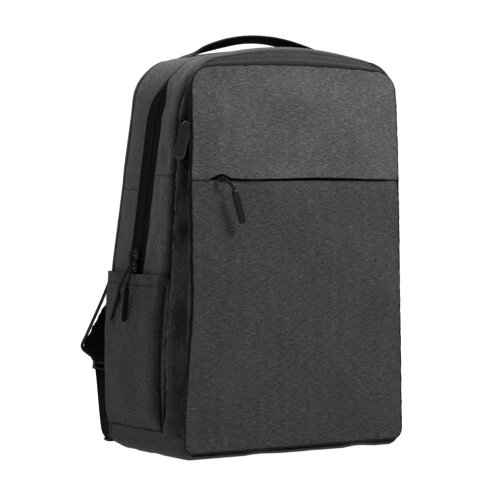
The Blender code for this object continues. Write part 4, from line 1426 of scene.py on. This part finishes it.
def build_slit_zip():
    """Behind the slit: a strip of tape with its coil, both across the front."""
    x = np.linspace(-0.122, 0.122, 120)[None, :]
    z = np.linspace(-0.014, 0.014, 12)[:, None]
    p = np.stack([x + 0 * z, -0.0820 + 0 * x + 0 * z, WELT + z + 0 * x], 2)
    finish(
        skin("slit_tape", p, "zip_tape_cloth", wall=0.0009, inside=DIM),
        "bag",
        "zip_tape",
        "front_zip_tape"
    )
    s = np.linspace(-0.119, 0.119, 700)[None, :]
    k = np.linspace(-1, 1, 11)[:, None]
    tooth = 0.5 + 0.5 * np.cos(2 * np.pi * (s / TOOTH + np.abs(k) * 0.35 + 0.5 * (k > 0)))
    rise = (1 - np.abs(k) ** 2.4) * 0.0010 + 0.0006 * tooth * (1 - np.abs(k) ** 6)
    p = np.stack([s + 0 * k, -0.0822 - rise, WELT + k * 0.0028 + 0 * s], 2)
    finish(
        skin("slit_chain", p, "coil_nylon", wall=0.0005, inside=DIM),
        "bag",
        "zip_coil",
        "front_zip_coil"
    )
    origin = np.array([-0.107, -0.0843, WELT])
    slider_body(
        "slider_front", origin, (1, 0, 0), (0, -1, 0), "pocket_slider", "front_slider", 0.0043,
        0.0125, 0.0009, 0.0066, 0.0003
    )
    loop = np.array([-0.107, -0.0908, WELT])
    route = [loop + (0.0015, -0.0042, 0), loop + (0.0085, -0.0056, -0.0030)]
    top, foot, face = (-0.0925, -0.0985, 0.3035), (-0.0800, -0.0970, 0.2650), (0, 1, 0)
    pull("front", loop, (0, 0, 1), route, (top, foot, face), "pocket_pull", "front_pull")


def build_side_pockets():
    """Each side pocket: a sheet that stands off the side, sewn down at three edges, gathered
    under a turned hem."""
    for side, name in ((-1, "left"), (1, "right")):
        z = spread(SEAM_LOW + 0.0015, POCKET_MOUTH, 96, 0.35)[:, None]
        s = spread(0, 1, 84, 0.55)[None, :]
        rear, fore = (
            at(BACK_LINE, z, -0.0015),
            at(VALLEY_LINE, np.minimum(z, 0.204), 0.0012)
            + 0.0035 * ease((z - 0.04) / 0.05) * ease((0.205 - z) / 0.02)
        )
        y = rear * (1 - s) + fore * s
        near = np.minimum(s, 1 - s) * (rear - fore)
        turn = np.where(s > 0.5, 0.018, 0.008)
        full = np.sqrt(np.clip(1 - (1 - np.clip(near / turn, 0, 1)) ** 2, 0, 1))
        rise = 0.0060 + 0.0030 * np.sin(np.pi * np.clip((z - 0.03) / 0.17, 0, 1)) ** 0.8
        foot = ease((z - SEAM_LOW) / 0.022)
        gather = ripple(y * 1.0, z * 0.25, 0.030, 81 + side) * 0.0007 * ease((z - 0.10) / 0.09)
        waves = ripple(y, z, 0.06, 84 + side) * 0.0008
        hem = 0.0006 * ease((z - (POCKET_MOUTH - 0.0115)) / 0.0012)
        dip = 0.0007 * bump(z - (POCKET_MOUTH - 0.0128), 0.0011)
        off = 0.0008 + (rise + gather + waves) * full * foot + (hem - dip) * full
        x = BODY.half(z) + off
        sag = 0.0016 * np.sin(np.pi * s) * ease((z - 0.16) / 0.045)
        p = np.stack([side * x, y + 0 * x, z - sag + 0 * x], 2)
        edge = p[-1]
        inner = [
            edge + (-side * 0.0007, 0, 0.0005),
            edge + (-side * 0.0015, 0, -0.0002),
            edge + (-side * 0.0017, 0, -0.0110)
        ]
        p = np.concatenate([p, np.stack(inner)])
        obj = skin(f"pocket_{name}", p, "melange_pocket", wall=0.0007, inside=DIM)
        # painted shade: the pocket darkens where it rounds into the valley, in a line under the hem
        # and at its rear edge; it also takes the darker copy of the cloth
        shade = (
            0.55 * ease((s - 0.92) / 0.08)
            + 0.55 * bump(z - (POCKET_MOUTH - 0.0120), 0.0011) * ease((0.985 - s) / 0.03)
            + 0.3 * ease((0.02 - s) / 0.02)
        )
        painted_fold_shade(obj, np.concatenate([shade + 0 * y, np.repeat(shade[-1:] + 0 * y[-1:], 3, 0)]))
        sewn(obj, f"side_pocket_{name}", f"side_pocket_hem_{name}")
        row = int(np.argmin(np.abs(z[:, 0] - (POCKET_MOUTH - 0.0105))))
        out = np.broadcast_to((side, 0, 0), p[row].shape)
        sewn(stitches(f"pocket_stitches_{name}", [(p[row], out)]))


PORT_MIDDLE = np.array([-0.139472, -0.069844, 0.35925])
PORT_X = np.array([0.707847, -0.694064, -0.131256])
PORT_Y = np.array([0.064176, -0.12186, 0.99047])
PORT_OUT = np.array([-0.703444, -0.709525, -0.041716])
PORT_LEAN = 0.09  # the flap leans this much sideways for its length


def port_plate(name, width, length, thick, lift, shift, look, dish=0.0):
    """A moulded plate on the port's frame: rings of a slot's outline, two half circles joined
    by lines, from the middle of its back
    round its rim to the middle of its front."""
    a = (np.arange(72) + 0.5)[None, :] * np.pi / 36
    c, s = np.cos(a), np.sin(a)
    t = np.linspace(0, 1, 30)[:, None]
    reach = np.concatenate(
        [
            np.linspace(0.02, 0.90, 9),
            1 - 0.10 * (1 - np.sin(np.linspace(0, np.pi, 12))),
            np.linspace(0.90, 0.02, 9)
        ]
    )[:, None]
    h = np.concatenate(
        [np.full(9, 0.0), (1 - np.cos(np.linspace(0, np.pi, 12))) / 2, np.full(9, 1.0)]
    )[:, None]
    inner = np.clip((0.86 - reach) / 0.06, 0, 1) * (t > 0.5)
    up = lift + h * thick - dish * ease(inner)
    straight = (length - width) / 2
    wide, along = c * width / 2, s * width / 2 + np.sign(s) * straight
    sideways = along * PORT_LEAN - 0.0010
    p = (
        PORT_MIDDLE
        + PORT_X * ((wide + sideways) * reach)[..., None]
        + PORT_Y * (along * reach + shift)[..., None]
        + PORT_OUT * (up + 0 * wide)[..., None]
    )
    return skin(name, p, look, wrap=True, caps=True)


def build_port():
    """The port: the solid base, shell and tongue keep their own shape, and the flap is a dished
    plate."""
    nodes = frame["nodes"]
    for node, look in (
        ("port_base", "port_seat"), ("port_shell", "socket_steel"),
        ("port_tongue", "tongue_plastic")
    ):
        paint(nodes[node], look)
    flap = port_plate(
        "port_cover", 0.0118, 0.0452, 0.0032, 0.0006 + PORT_RISE + GAP, -0.0002, "port_rubber",
        dish=0.0004
    )
    finish(flap, "port_cover", "pull_rubber", "port_flap")
    run = np.linspace(-0.5, 0.5, 60)[:, None] * 0.040
    path = PORT_MIDDLE + PORT_X * (-0.0092 + run * PORT_LEAN) + PORT_Y * run + PORT_OUT * 0.0009
    sewn(
        stitches(
            "port_stitches", [(path, np.broadcast_to(PORT_OUT, path.shape))], "pale_thread", 0.8
        )
    )


def paint(node, look):
    """A new finish on a solid that keeps its own shape."""
    if not node.data.materials:
        node.data.materials.append(None)
    for place_ in node.material_slots:
        place_.material = bpy.data.materials[look]


HANDLE_Y = -0.003


def build_handle():
    """One strip of webbing in a low arch, sewn flat at both ends, its front edge rolled up
    between them."""
    half = [
        (0.104, 0.4528), (0.097, 0.4562), (0.086, 0.4612), (0.072, 0.4668), (0.053, 0.4722),
        (0.035, 0.4762), (0.017, 0.4788)
    ]
    points = np.array(
        [(-x, HANDLE_Y, z) for x, z in half]
        + [(0, HANDLE_Y, 0.4795)]
        + [(x, HANDLE_Y, z) for x, z in half[::-1]]
    )
    path = even(spline(points, 300), 150)
    x = path[:, 0]
    free = ease((0.098 - np.abs(x)) / 0.02)
    roll = math.radians(14) * free + math.radians(13) * bump(x + 0.05, 0.035) * free
    piece = ribbon(
        "carry_handle",
        path,
        (0, 1, 0),
        STRAP_WIDE - 0.003 * ease(-x / 0.05) * free,
        0.0032,
        "strap_webbing",
        columns=18,
        roll=-roll
    )
    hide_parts("handle_end_left", "handle_end_right", "handle_webbing")
    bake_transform(piece)
    runs = []
    for side in (-1, 1):
        for k in (0.1015, 0.0985):
            u = np.linspace(-0.0105, 0.0105, 12)
            h = np.interp(k, (0.086, 0.097, 0.104), (0.4612, 0.4562, 0.4528)) + 0.0018
            runs.append(
                (
                    np.stack([side * k + 0 * u, HANDLE_Y + u, h + 0 * u], 1),
                    np.tile((0, 0, 1.0), (12, 1))
                )
            )
    finish(stitches("handle_stitches", runs, "pale_thread", 0.75), "bag", "webbing")


PAD_ROUTE = np.array(
    [
        (0.0600, 0.0660, 0.3720), (0.0635, 0.0820, 0.3450), (0.0710, 0.0960, 0.3050),
        (0.0840, 0.1090, 0.2500), (0.1005, 0.1260, 0.1850), (0.1205, 0.1400, 0.1300),
        (0.1345, 0.1475, 0.1000)
    ]
)
PAD_WIDTHS = np.array([0.056, 0.060, 0.064, 0.064, 0.058, 0.055, 0.050])
WEB_ROUTE = np.array(
    [
        (0.1254, 0.1426, 0.0838), (0.1266, 0.1390, 0.0750), (0.1300, 0.1290, 0.0540),
        (0.1345, 0.1165, 0.0310), (0.1385, 0.1045, 0.0145)
    ]
)


def strap_frames(side, count):
    """The pad's centre line, its width, and the directions across it and out of it towards the
    wearer's back."""
    mirror = np.array([side, 1, 1])
    both = spline(np.concatenate([PAD_ROUTE * mirror, PAD_WIDTHS[:, None]], 1), count)
    t = np.linspace(0, 1, count)[:, None]
    across = unit(np.array([side, 0, 0]) * (1 - t**3) + np.array([side * 0.89, 0, 0.42]) * t**3)
    _, wide, out = frames(both[:, :3], across)
    out = out * np.sign(out[:, 1:2])
    return both[:, :3], both[:, 3], wide, out


def build_straps():
    """The left and the right strap."""
    for side, name in ((-1, "left"), (1, "right")):
        build_strap(side, name)


def build_strap(side, name):
    """A padded strap: an oval section crowned to a soft edge, round at its foot, then webbing,
    adjuster and tab."""
    path, width, wide, out = strap_frames(side, 90)
    s = np.linspace(0, 1, 90)
    tip = np.sqrt(np.clip(1 - np.clip((s - 0.945) / 0.055, 0, 1) ** 4, 0.05, 1))
    head = 0.72 + 0.28 * ease(s / 0.03)
    a = np.linspace(0, 2 * np.pi, 40, endpoint=False)
    c, q = np.cos(a), np.sin(a)
    w = np.sign(c) * np.abs(c) ** 0.55
    h = np.sign(q) * np.abs(q) ** 0.9
    half_w = (width / 2 * tip - 0.001)[:, None, None]
    half_t = (0.0042 * np.sqrt(tip) * head)[:, None, None]
    p = (
        path[:, None]
        + wide[:, None] * w[None, :, None] * half_w
        + out[:, None] * h[None, :, None] * half_t
    )
    pad = skin(f"strap_{name}", p, ["spacer_fabric", "strap_cloth"], wrap=True, caps=True)
    swell(pad, 0.0035, 0.0045)
    pad.data.materials.clear()
    for look in ("spacer_fabric", "strap_cloth"):
        pad.data.materials.append(bpy.data.materials[look])
    two_faced(pad, path, out)
    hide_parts(f"strap_pad_{name}")
    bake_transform(pad)
    edge = []
    for k in (-1, 1):
        line = path + wide * (k * (width / 2 * tip - 0.0004))[:, None]
        edge.append(line[2:] if k < 0 else line[2:][::-1])
    loop = even(np.concatenate(edge), 260)
    binding = tube(
        f"strap_binding_{name}", loop, 0.0021, "melange_binding", 8, (0.2, 1, 0.1), flat=1.0
    )
    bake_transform(binding)
    mirror = np.array([side, 1, 1])
    lean = np.array([side * 0.97, 0, 0.24])
    loop_path = spline(
        np.array(
            [
                (0.1256, 0.1464, 0.1130), (0.1268, 0.1500, 0.1022), (0.1264, 0.1492, 0.0975),
                (0.1252, 0.1462, 0.0945), (0.1250, 0.1436, 0.0965), (0.1262, 0.1440, 0.1030),
                (0.1250, 0.1420, 0.1120)
            ]
        )
        * mirror,
        50
    )
    finish(
        ribbon(f"ladder_loop_{name}", loop_path, lean, STRAP_WIDE, 0.0015, "strap_webbing"),
        f"strap_{name}",
        "webbing",
        f"adjuster_loop_{name}"
    )
    web = (
        np.concatenate(
            [
                [(0.1250, 0.1462, 0.0950), (0.1252, 0.1446, 0.0885)],
                WEB_ROUTE[1:],
                [(0.1388, 0.0955, 0.0075)]
            ]
        )
        * mirror
    )
    webbing = ribbon(
        f"strap_web_{name}", even(spline(web, 200), 120), unit(lean), STRAP_WIDE, 0.0016,
        "strap_webbing"
    )
    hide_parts(f"strap_webbing_{name}")
    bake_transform(webbing)
    build_adjuster(side, name)
    tab = spline(
        np.array([(0.1380, 0.0868, 0.0074), (0.1384, 0.0930, 0.0074), (0.1388, 0.0985, 0.0088)])
        * mirror,
        24
    )
    finish(
        ribbon(
            f"tab_{name}", tab, (side, 0, 0), np.linspace(0.030, 0.026, 24), 0.0032,
            "melange_binding"
        ),
        "bag",
        "webbing",
        f"strap_tab_{name}"
    )


def two_faced(pad, path, out):
    """Faces towards the bag take the first material, the mesh, and the others the second, the
    cloth."""
    mesh = pad.data
    count = len(mesh.polygons)
    centre, normal = np.empty(count * 3, np.float32), np.empty(count * 3, np.float32)
    mesh.polygons.foreach_get("center", centre)
    mesh.polygons.foreach_get("normal", normal)
    centre, normal = centre.reshape(-1, 3), normal.reshape(-1, 3)
    nearest = np.argmin(((centre[:, None, :] - path[None, ::3]) ** 2).sum(2), 1)
    outer = (normal * out[::3][nearest]).sum(1) > 0.10
    mesh.polygons.foreach_set("material_index", outer.astype(np.int32))
    mesh.update()


def build_adjuster(side, name):
    """A ladder lock: a rounded frame of two side rails and three bars."""
    down = unit(np.array([side * 0.20, -0.20, -0.96]))
    wide = unit(np.array([side * 0.97, 0, 0.24]))
    out = unit(np.cross(down, wide)) * -side
    wide = np.cross(out, down)
    middle = np.array([side * 0.1240, 0.1443, 0.0895])
    t = np.linspace(-1, 1, 30)[:, None]
    for k, (shift, lift, size) in enumerate(
        ((-0.0040, 0.0002, 0.0017), (0.0040, 0.0, 0.0017), (-0.0003, 0.0008, 0.0012))
    ):
        path = middle + down * shift + wide * t * 0.0155 + out * (lift + 0.0006 * (1 - t**2))
        obj = tube(
            f"ladder_bar_{name}_{k}", path, size * (1 - 0.25 * t[:, 0] ** 8), "buckle_plastic", 12,
            down
        )
        finish(obj, f"strap_{name}", "buckle_plastic", *([f"adjuster_{name}"] if k == 0 else []))
    for k in (-1, 1):
        path = middle + wide * k * 0.0150 + down * t * 0.0050
        obj = tube(
            f"ladder_rail_{name}_{'a' if k < 0 else 'b'}", path, 0.0018, "buckle_plastic", 12, wide
        )
        finish(obj, f"strap_{name}", "buckle_plastic")


def build_back_pads():
    """Two air-mesh pads on the back, swollen from flat closed forms, with a sewn channel across
    each, and the yoke over the straps."""
    for side, name in ((-1, "left"), (1, "right")):
        z = np.linspace(0, 2 * np.pi, 96, endpoint=False)
        corner = lambda q: np.sign(q) * np.abs(q) ** 0.35
        ring_x, ring_z = corner(np.cos(z)) * PAD_HALF_X, corner(np.sin(z)) * PAD_HALF_Z
        level = np.linspace(0, np.pi, 17)[:, None]
        shrink = 1 - 0.06 * (1 - np.sin(level))
        fill = np.concatenate(
            [
                np.linspace(0.1, 0.9, 5)[:, None] * shrink[0],
                shrink,
                np.linspace(0.9, 0.1, 5)[:, None] * shrink[-1]
            ]
        )
        h = np.concatenate([np.zeros((5, 1)), (1 - np.cos(level)) / 2, np.ones((5, 1))])
        x = side * PAD_X + ring_x[None] * fill
        zz = PAD_Z + ring_z[None] * fill
        y = at(BACK_LINE, zz) + 0.0012 + 0.0070 * h
        pad = skin(
            f"back_cushion_{name}", np.stack([x, y, zz], 2), "spacer_fabric", wrap=True, caps=True
        )
        swell(pad, 0.004, 0.005)
        pad.data.materials.clear()
        pad.data.materials.append(bpy.data.materials["spacer_fabric"])
        co = coordinates(pad.data)
        out = ease((co[:, 1] - at(BACK_LINE, co[:, 2]) - 0.003) / 0.004)
        channel = sum(
            bump(co[:, 2] - h0 - 0.25 * np.abs(co[:, 0] - side * PAD_X), 0.0045)
            for h0 in (0.105, 0.175, 0.245)
        )
        co[:, 1] -= 0.0042 * channel * out
        co[:, 1] = np.maximum(co[:, 1], at(BACK_LINE, co[:, 2]) + 0.0016)
        pad.data.vertices.foreach_set("co", co.astype(np.float32).ravel())
        pad.data.update()
        finish(pad, "bag", "air_mesh", f"back_pad_{name}")
        ring = np.stack(
            [
                side * PAD_X + ring_x * 1.02,
                at(BACK_LINE, PAD_Z + ring_z * 1.005) + 0.0026,
                PAD_Z + ring_z * 1.005
            ],
            1
        )
        ring = even(np.concatenate([ring, ring[:1]]), 240)
        sewn(tube(f"cushion_binding_{name}", ring, 0.0016, "melange_binding", 8, (0, 1, 0)))
    u = spread(-1, 1, 60, 0.4)[None, :]
    v = spread(-1, 1, 24, 0.4)[:, None]
    x = 0.108 * u * (1 - 0.04 * v)
    z = 0.395 + 0.0165 * v - 0.003 * u**2
    d = np.minimum(1 - np.abs(u), (1 - np.abs(v)) * 0.16) / 0.16
    y = at(BACK_LINE, z) + 0.0018 + 0.0058 * np.sqrt(np.clip(1 - (1 - np.clip(d, 0, 1)) ** 2, 0, 1))
    yoke = skin(
        "yoke", np.stack([x + 0 * y, y, z + 0 * y], 2), "melange_cloth", wall=0.0015, inside=DIM
    )
    sewn(yoke, "strap_yoke")


def build_inside():
    """The divider, laptop sleeve with its tab, battery pocket and base board."""
    x = spread(-1, 1, 40)[None, :]
    z = np.linspace(0.008, 0.452, 70)[:, None]
    half = BODY.wide(np.minimum(z + 0.008, BODY.crown - BODY.arch)) - 0.0085
    p = np.stack(
        [x * half, at(VALLEY_LINE, z, 0.003) + ripple(x * half, z, 0.1, 91) * 0.0004, z + 0 * x], 2
    )
    finish(
        skin("divider", p, "lining_cloth", wall=0.0010, inside=(0, -9, 0.2), uv=planar(p)),
        "bag",
        "lining_fabric",
        "divider_wall"
    )
    z = np.linspace(0.0075, 0.300, 60)[:, None]
    half = BODY.wide(z + 0.004) - 0.010
    d = np.minimum(1 - np.abs(x), (0.300 - z) / 0.15)
    p = np.stack([x * half, at(BACK_LINE, z, -0.0375) - 0.0012 * ease(d / 0.2), z + 0 * x], 2)
    sleeve = skin("sleeve", p, "lining_cloth", wall=0.0045, inside=(0, 9, 0.2), uv=planar(p))
    finish(sleeve, "bag", "lining_fabric", "laptop_sleeve")
    z = np.array([0.285, 0.300, 0.318, 0.335, 0.345])
    path = np.stack([0 * z, at(BACK_LINE, z, -0.0397) + np.maximum(z - 0.300, 0) * 0.42, z], 1)
    finish(
        ribbon("sleeve_strap", spline(path, 30), (1, 0, 0), STRAP_WIDE, 0.0014, "strap_webbing"),
        "bag",
        "webbing",
        "sleeve_tab"
    )
    z = np.linspace(0.210, 0.320, 40)[:, None]
    s = np.linspace(0, 1, 30)[None, :]
    puff = (
        0.0072 * np.sqrt(np.clip(1 - (1 - np.clip(np.minimum(s, 1 - s) / 0.06, 0, 1)) ** 2, 0, 1))
    )
    p = np.stack([-0.1255 + 0.0625 * s + 0 * z, at(VALLEY_LINE, z, 0.0026) - puff, z + 0 * s], 2)
    finish(
        skin("power_pocket", p, "lining_cloth", wall=0.0008, inside=(-0.095, 9, 0.25)),
        "bag",
        "lining_fabric",
        "battery_pocket"
    )
    paint(frame["nodes"]["base_board"], "fibre_board")


EYE = (-1.40380, -2.15178, 0.31337)
LOOK_AT = (0, 0, 0.225)
LENS, LENS_SHIFT = 156.6, (-0.0115, 0.0117)
VIEW_TURN = -33.12  # degrees; the sweep faces the camera
LAMPS = (  # name, place, aim, side of the square, watts
    ("front", (0.35, -0.52, 0.98), (0.02, -0.05, 0.34), 0.30, 15),
    ("left", (-0.62, 0.15, 1.0), (-0.13, 0, 0.33), 0.30, 6),
    ("back", (0.3, 1.3, 1.4), (0, 0, 0.3), 1.0, 14),
    ("top", (0.1, 0.02, 1.7), (0, -0.03, 0.45), 0.4, 22),
)


def build_stage():
    """A white sweep, soft lamps and the camera."""
    t = np.linspace(0, 1, 40)[:, None]
    reach, radius = 2.6, 1.2
    a = np.clip((t - 0.6) / 0.3, 0, 1) * np.pi / 2
    y = -4.0 + np.minimum(t, 0.6) / 0.6 * (4.0 + reach) + radius * np.sin(a)
    z = radius * (1 - np.cos(a)) + np.clip(t - 0.9, 0, 1) * 30
    x = np.linspace(-6, 6, 20)[None, :]
    sweep = skin(
        "sweep",
        np.stack([x + 0 * y, y + 0 * x, z - 0.0004 + 0 * x], 2),
        "studio_white",
        inside=(0, 0, -5)
    )
    sweep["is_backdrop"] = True
    sweep.rotation_euler[2] = math.radians(VIEW_TURN)
    scene = bpy.context.scene
    world = bpy.data.worlds.new("studio") if scene.world is None else scene.world
    scene.world = world
    world.use_nodes = True
    ambient = world.node_tree.nodes["Background"].inputs
    ambient[0].default_value, ambient[1].default_value = (1, 1, 1, 1), 0.05
    for name, where, towards, size, watts in LAMPS:
        lamp(name, where, towards, size, watts)
    scene.view_settings.view_transform = "Standard"
    camera = bpy.data.cameras.new("camera")
    camera.lens, camera.sensor_width = LENS, 36.0
    camera.shift_x, camera.shift_y = LENS_SHIFT
    camera.clip_start, camera.clip_end = 0.05, 30
    eye = bpy.data.objects.new("camera", camera)
    scene.collection.objects.link(eye)
    eye.location = EYE
    aim = Vector(LOOK_AT) - eye.location
    eye.rotation_euler = aim.to_track_quat("-Z", "Y").to_euler()
    scene.camera = eye


def lamp(name, where, towards, size, watts):
    """A square lamp aimed at a point."""
    light = bpy.data.lights.new(name, "AREA")
    light.shape, light.size, light.size_y, light.energy = "RECTANGLE", size, size, watts
    obj = bpy.data.objects.new(name, light)
    bpy.context.scene.collection.objects.link(obj)
    obj.location = where
    obj.rotation_euler = (Vector(towards) - Vector(where)).to_track_quat("-Z", "Y").to_euler()


# ---------------------------------------------------------------- add-on
class BackpackSizes(bpy.types.PropertyGroup):
    stitch_pitch: bpy.props.FloatProperty(
        name="Stitch pitch",
        description="From one stitch to the next",
        default=0.0032,
        min=0.001,
        max=0.02,
        precision=4,
        unit="LENGTH"
    )
    thread: bpy.props.FloatProperty(
        name="Thread radius",
        description="Radius of the sewing thread",
        default=0.00028,
        min=0.0001,
        max=0.001,
        precision=5,
        unit="LENGTH"
    )
    wrinkle: bpy.props.FloatProperty(
        name="Wrinkle depth",
        description="How far the front's broad waves stand out",
        default=0.0011,
        min=0.0,
        max=0.003,
        precision=4,
        unit="LENGTH"
    )
    mesh_pitch: bpy.props.FloatProperty(
        name="Air mesh pitch",
        description="From one hole of the air mesh to the next",
        default=0.0030,
        min=0.001,
        max=0.01,
        precision=4,
        unit="LENGTH"
    )


class BackpackColours(bpy.types.PropertyGroup):
    yarn_light: bpy.props.FloatVectorProperty(
        name="Light yarn",
        description="The lighter of the two yarns in the cloth",
        subtype="COLOR",
        default=(0.080, 0.080, 0.0808),
        min=0,
        max=1
    )
    yarn_dark: bpy.props.FloatVectorProperty(
        name="Dark yarn",
        description="The darker of the two yarns in the cloth",
        subtype="COLOR",
        default=(0.0100, 0.0100, 0.0102),
        min=0,
        max=1
    )
    trim: bpy.props.FloatVectorProperty(
        name="Trim", description="Black of the grips", subtype="COLOR",
        default=(0.0035, 0.0035, 0.0036), min=0, max=1
    )


class BACKPACK_OT_materials(bpy.types.Operator):
    """Make the cloths, webbing, rubber, plastic and metals"""

    bl_idname = "backpack.materials"
    bl_label = "Materials"

    def execute(self, context):
        make_materials(context.scene.backpack_colours)
        return {"FINISHED"}


class BACKPACK_OT_stage(bpy.types.Operator):
    """Make the sweep, lamps and camera"""

    bl_idname = "backpack.stage"
    bl_label = "Stage"

    def execute(self, context):
        build_stage()
        return {"FINISHED"}


class BACKPACK_OT_shell(bpy.types.Operator):
    """Make the bands, sides, base and back"""

    bl_idname = "backpack.shell"
    bl_label = "Shell"

    def execute(self, context):
        build_shell()
        return {"FINISHED"}


class BACKPACK_OT_main_zip(bpy.types.Operator):
    """Make the main zip with its sliders, cords and grips"""

    bl_idname = "backpack.main_zip"
    bl_label = "Main zip"

    def execute(self, context):
        build_main_zip()
        build_main_pulls()
        return {"FINISHED"}


class BACKPACK_OT_front(bpy.types.Operator):
    """Make the bellows, the front panels and the slit's zip"""

    bl_idname = "backpack.front"
    bl_label = "Front"

    def execute(self, context):
        build_pleats()
        build_front()
        return {"FINISHED"}


class BACKPACK_OT_side_pockets(bpy.types.Operator):
    """Make both side pockets"""

    bl_idname = "backpack.side_pockets"
    bl_label = "Side pockets"

    def execute(self, context):
        build_side_pockets()
        return {"FINISHED"}


class BACKPACK_OT_port(bpy.types.Operator):
    """Make the charging port and its cover"""

    bl_idname = "backpack.port"
    bl_label = "Port"

    def execute(self, context):
        build_port()
        return {"FINISHED"}


class BACKPACK_OT_handle(bpy.types.Operator):
    """Make the carrying handle"""

    bl_idname = "backpack.handle"
    bl_label = "Handle"

    def execute(self, context):
        build_handle()
        return {"FINISHED"}


class BACKPACK_OT_back_pads(bpy.types.Operator):
    """Make the two back pads and the yoke"""

    bl_idname = "backpack.back_pads"
    bl_label = "Back pads"

    def execute(self, context):
        build_back_pads()
        return {"FINISHED"}


class BACKPACK_OT_straps(bpy.types.Operator):
    """Make both shoulder straps with their adjusters"""

    bl_idname = "backpack.straps"
    bl_label = "Straps"

    def execute(self, context):
        build_straps()
        return {"FINISHED"}


class BACKPACK_OT_inside(bpy.types.Operator):
    """Make the divider, sleeve, pocket and board"""

    bl_idname = "backpack.inside"
    bl_label = "Inside"

    def execute(self, context):
        build_inside()
        return {"FINISHED"}


OPERATORS = (
    BACKPACK_OT_materials,
    BACKPACK_OT_stage,
    BACKPACK_OT_shell,
    BACKPACK_OT_main_zip,
    BACKPACK_OT_front,
    BACKPACK_OT_side_pockets,
    BACKPACK_OT_port,
    BACKPACK_OT_handle,
    BACKPACK_OT_back_pads,
    BACKPACK_OT_straps,
    BACKPACK_OT_inside,
)


class BACKPACK_PT_panel(bpy.types.Panel):
    """The backpack's sizes and colours, and a button for each piece"""

    bl_idname = "BACKPACK_PT_panel"
    bl_label = "Backpack"
    bl_space_type = "VIEW_3D"
    bl_region_type = "UI"
    bl_category = "Backpack"

    def draw(self, context):
        for group_, rows in (
            (context.scene.backpack_sizes, ("stitch_pitch", "thread", "wrinkle", "mesh_pitch")),
            (context.scene.backpack_colours, ("yarn_light", "yarn_dark", "trim")),
        ):
            for row in rows:
                self.layout.prop(group_, row)
        for each in OPERATORS:
            self.layout.operator(each.bl_idname)


CLASSES = (BackpackSizes, BackpackColours, *OPERATORS, BACKPACK_PT_panel)


def register():
    for each in CLASSES:
        bpy.utils.register_class(each)
    bpy.types.Scene.backpack_sizes = bpy.props.PointerProperty(type=BackpackSizes)
    bpy.types.Scene.backpack_colours = bpy.props.PointerProperty(type=BackpackColours)


def unregister():
    del bpy.types.Scene.backpack_colours
    del bpy.types.Scene.backpack_sizes
    for each in reversed(CLASSES):
        bpy.utils.unregister_class(each)


def main():
    register()
    made = bpy.ops.backpack
    made.materials()
    made.stage()
    made.shell()
    made.main_zip()
    made.front()
    made.side_pockets()
    made.port()
    made.handle()
    made.back_pads()
    made.straps()
    made.inside()
    visual = [list(corner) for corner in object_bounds()]


if __name__ == "__main__":
    main()
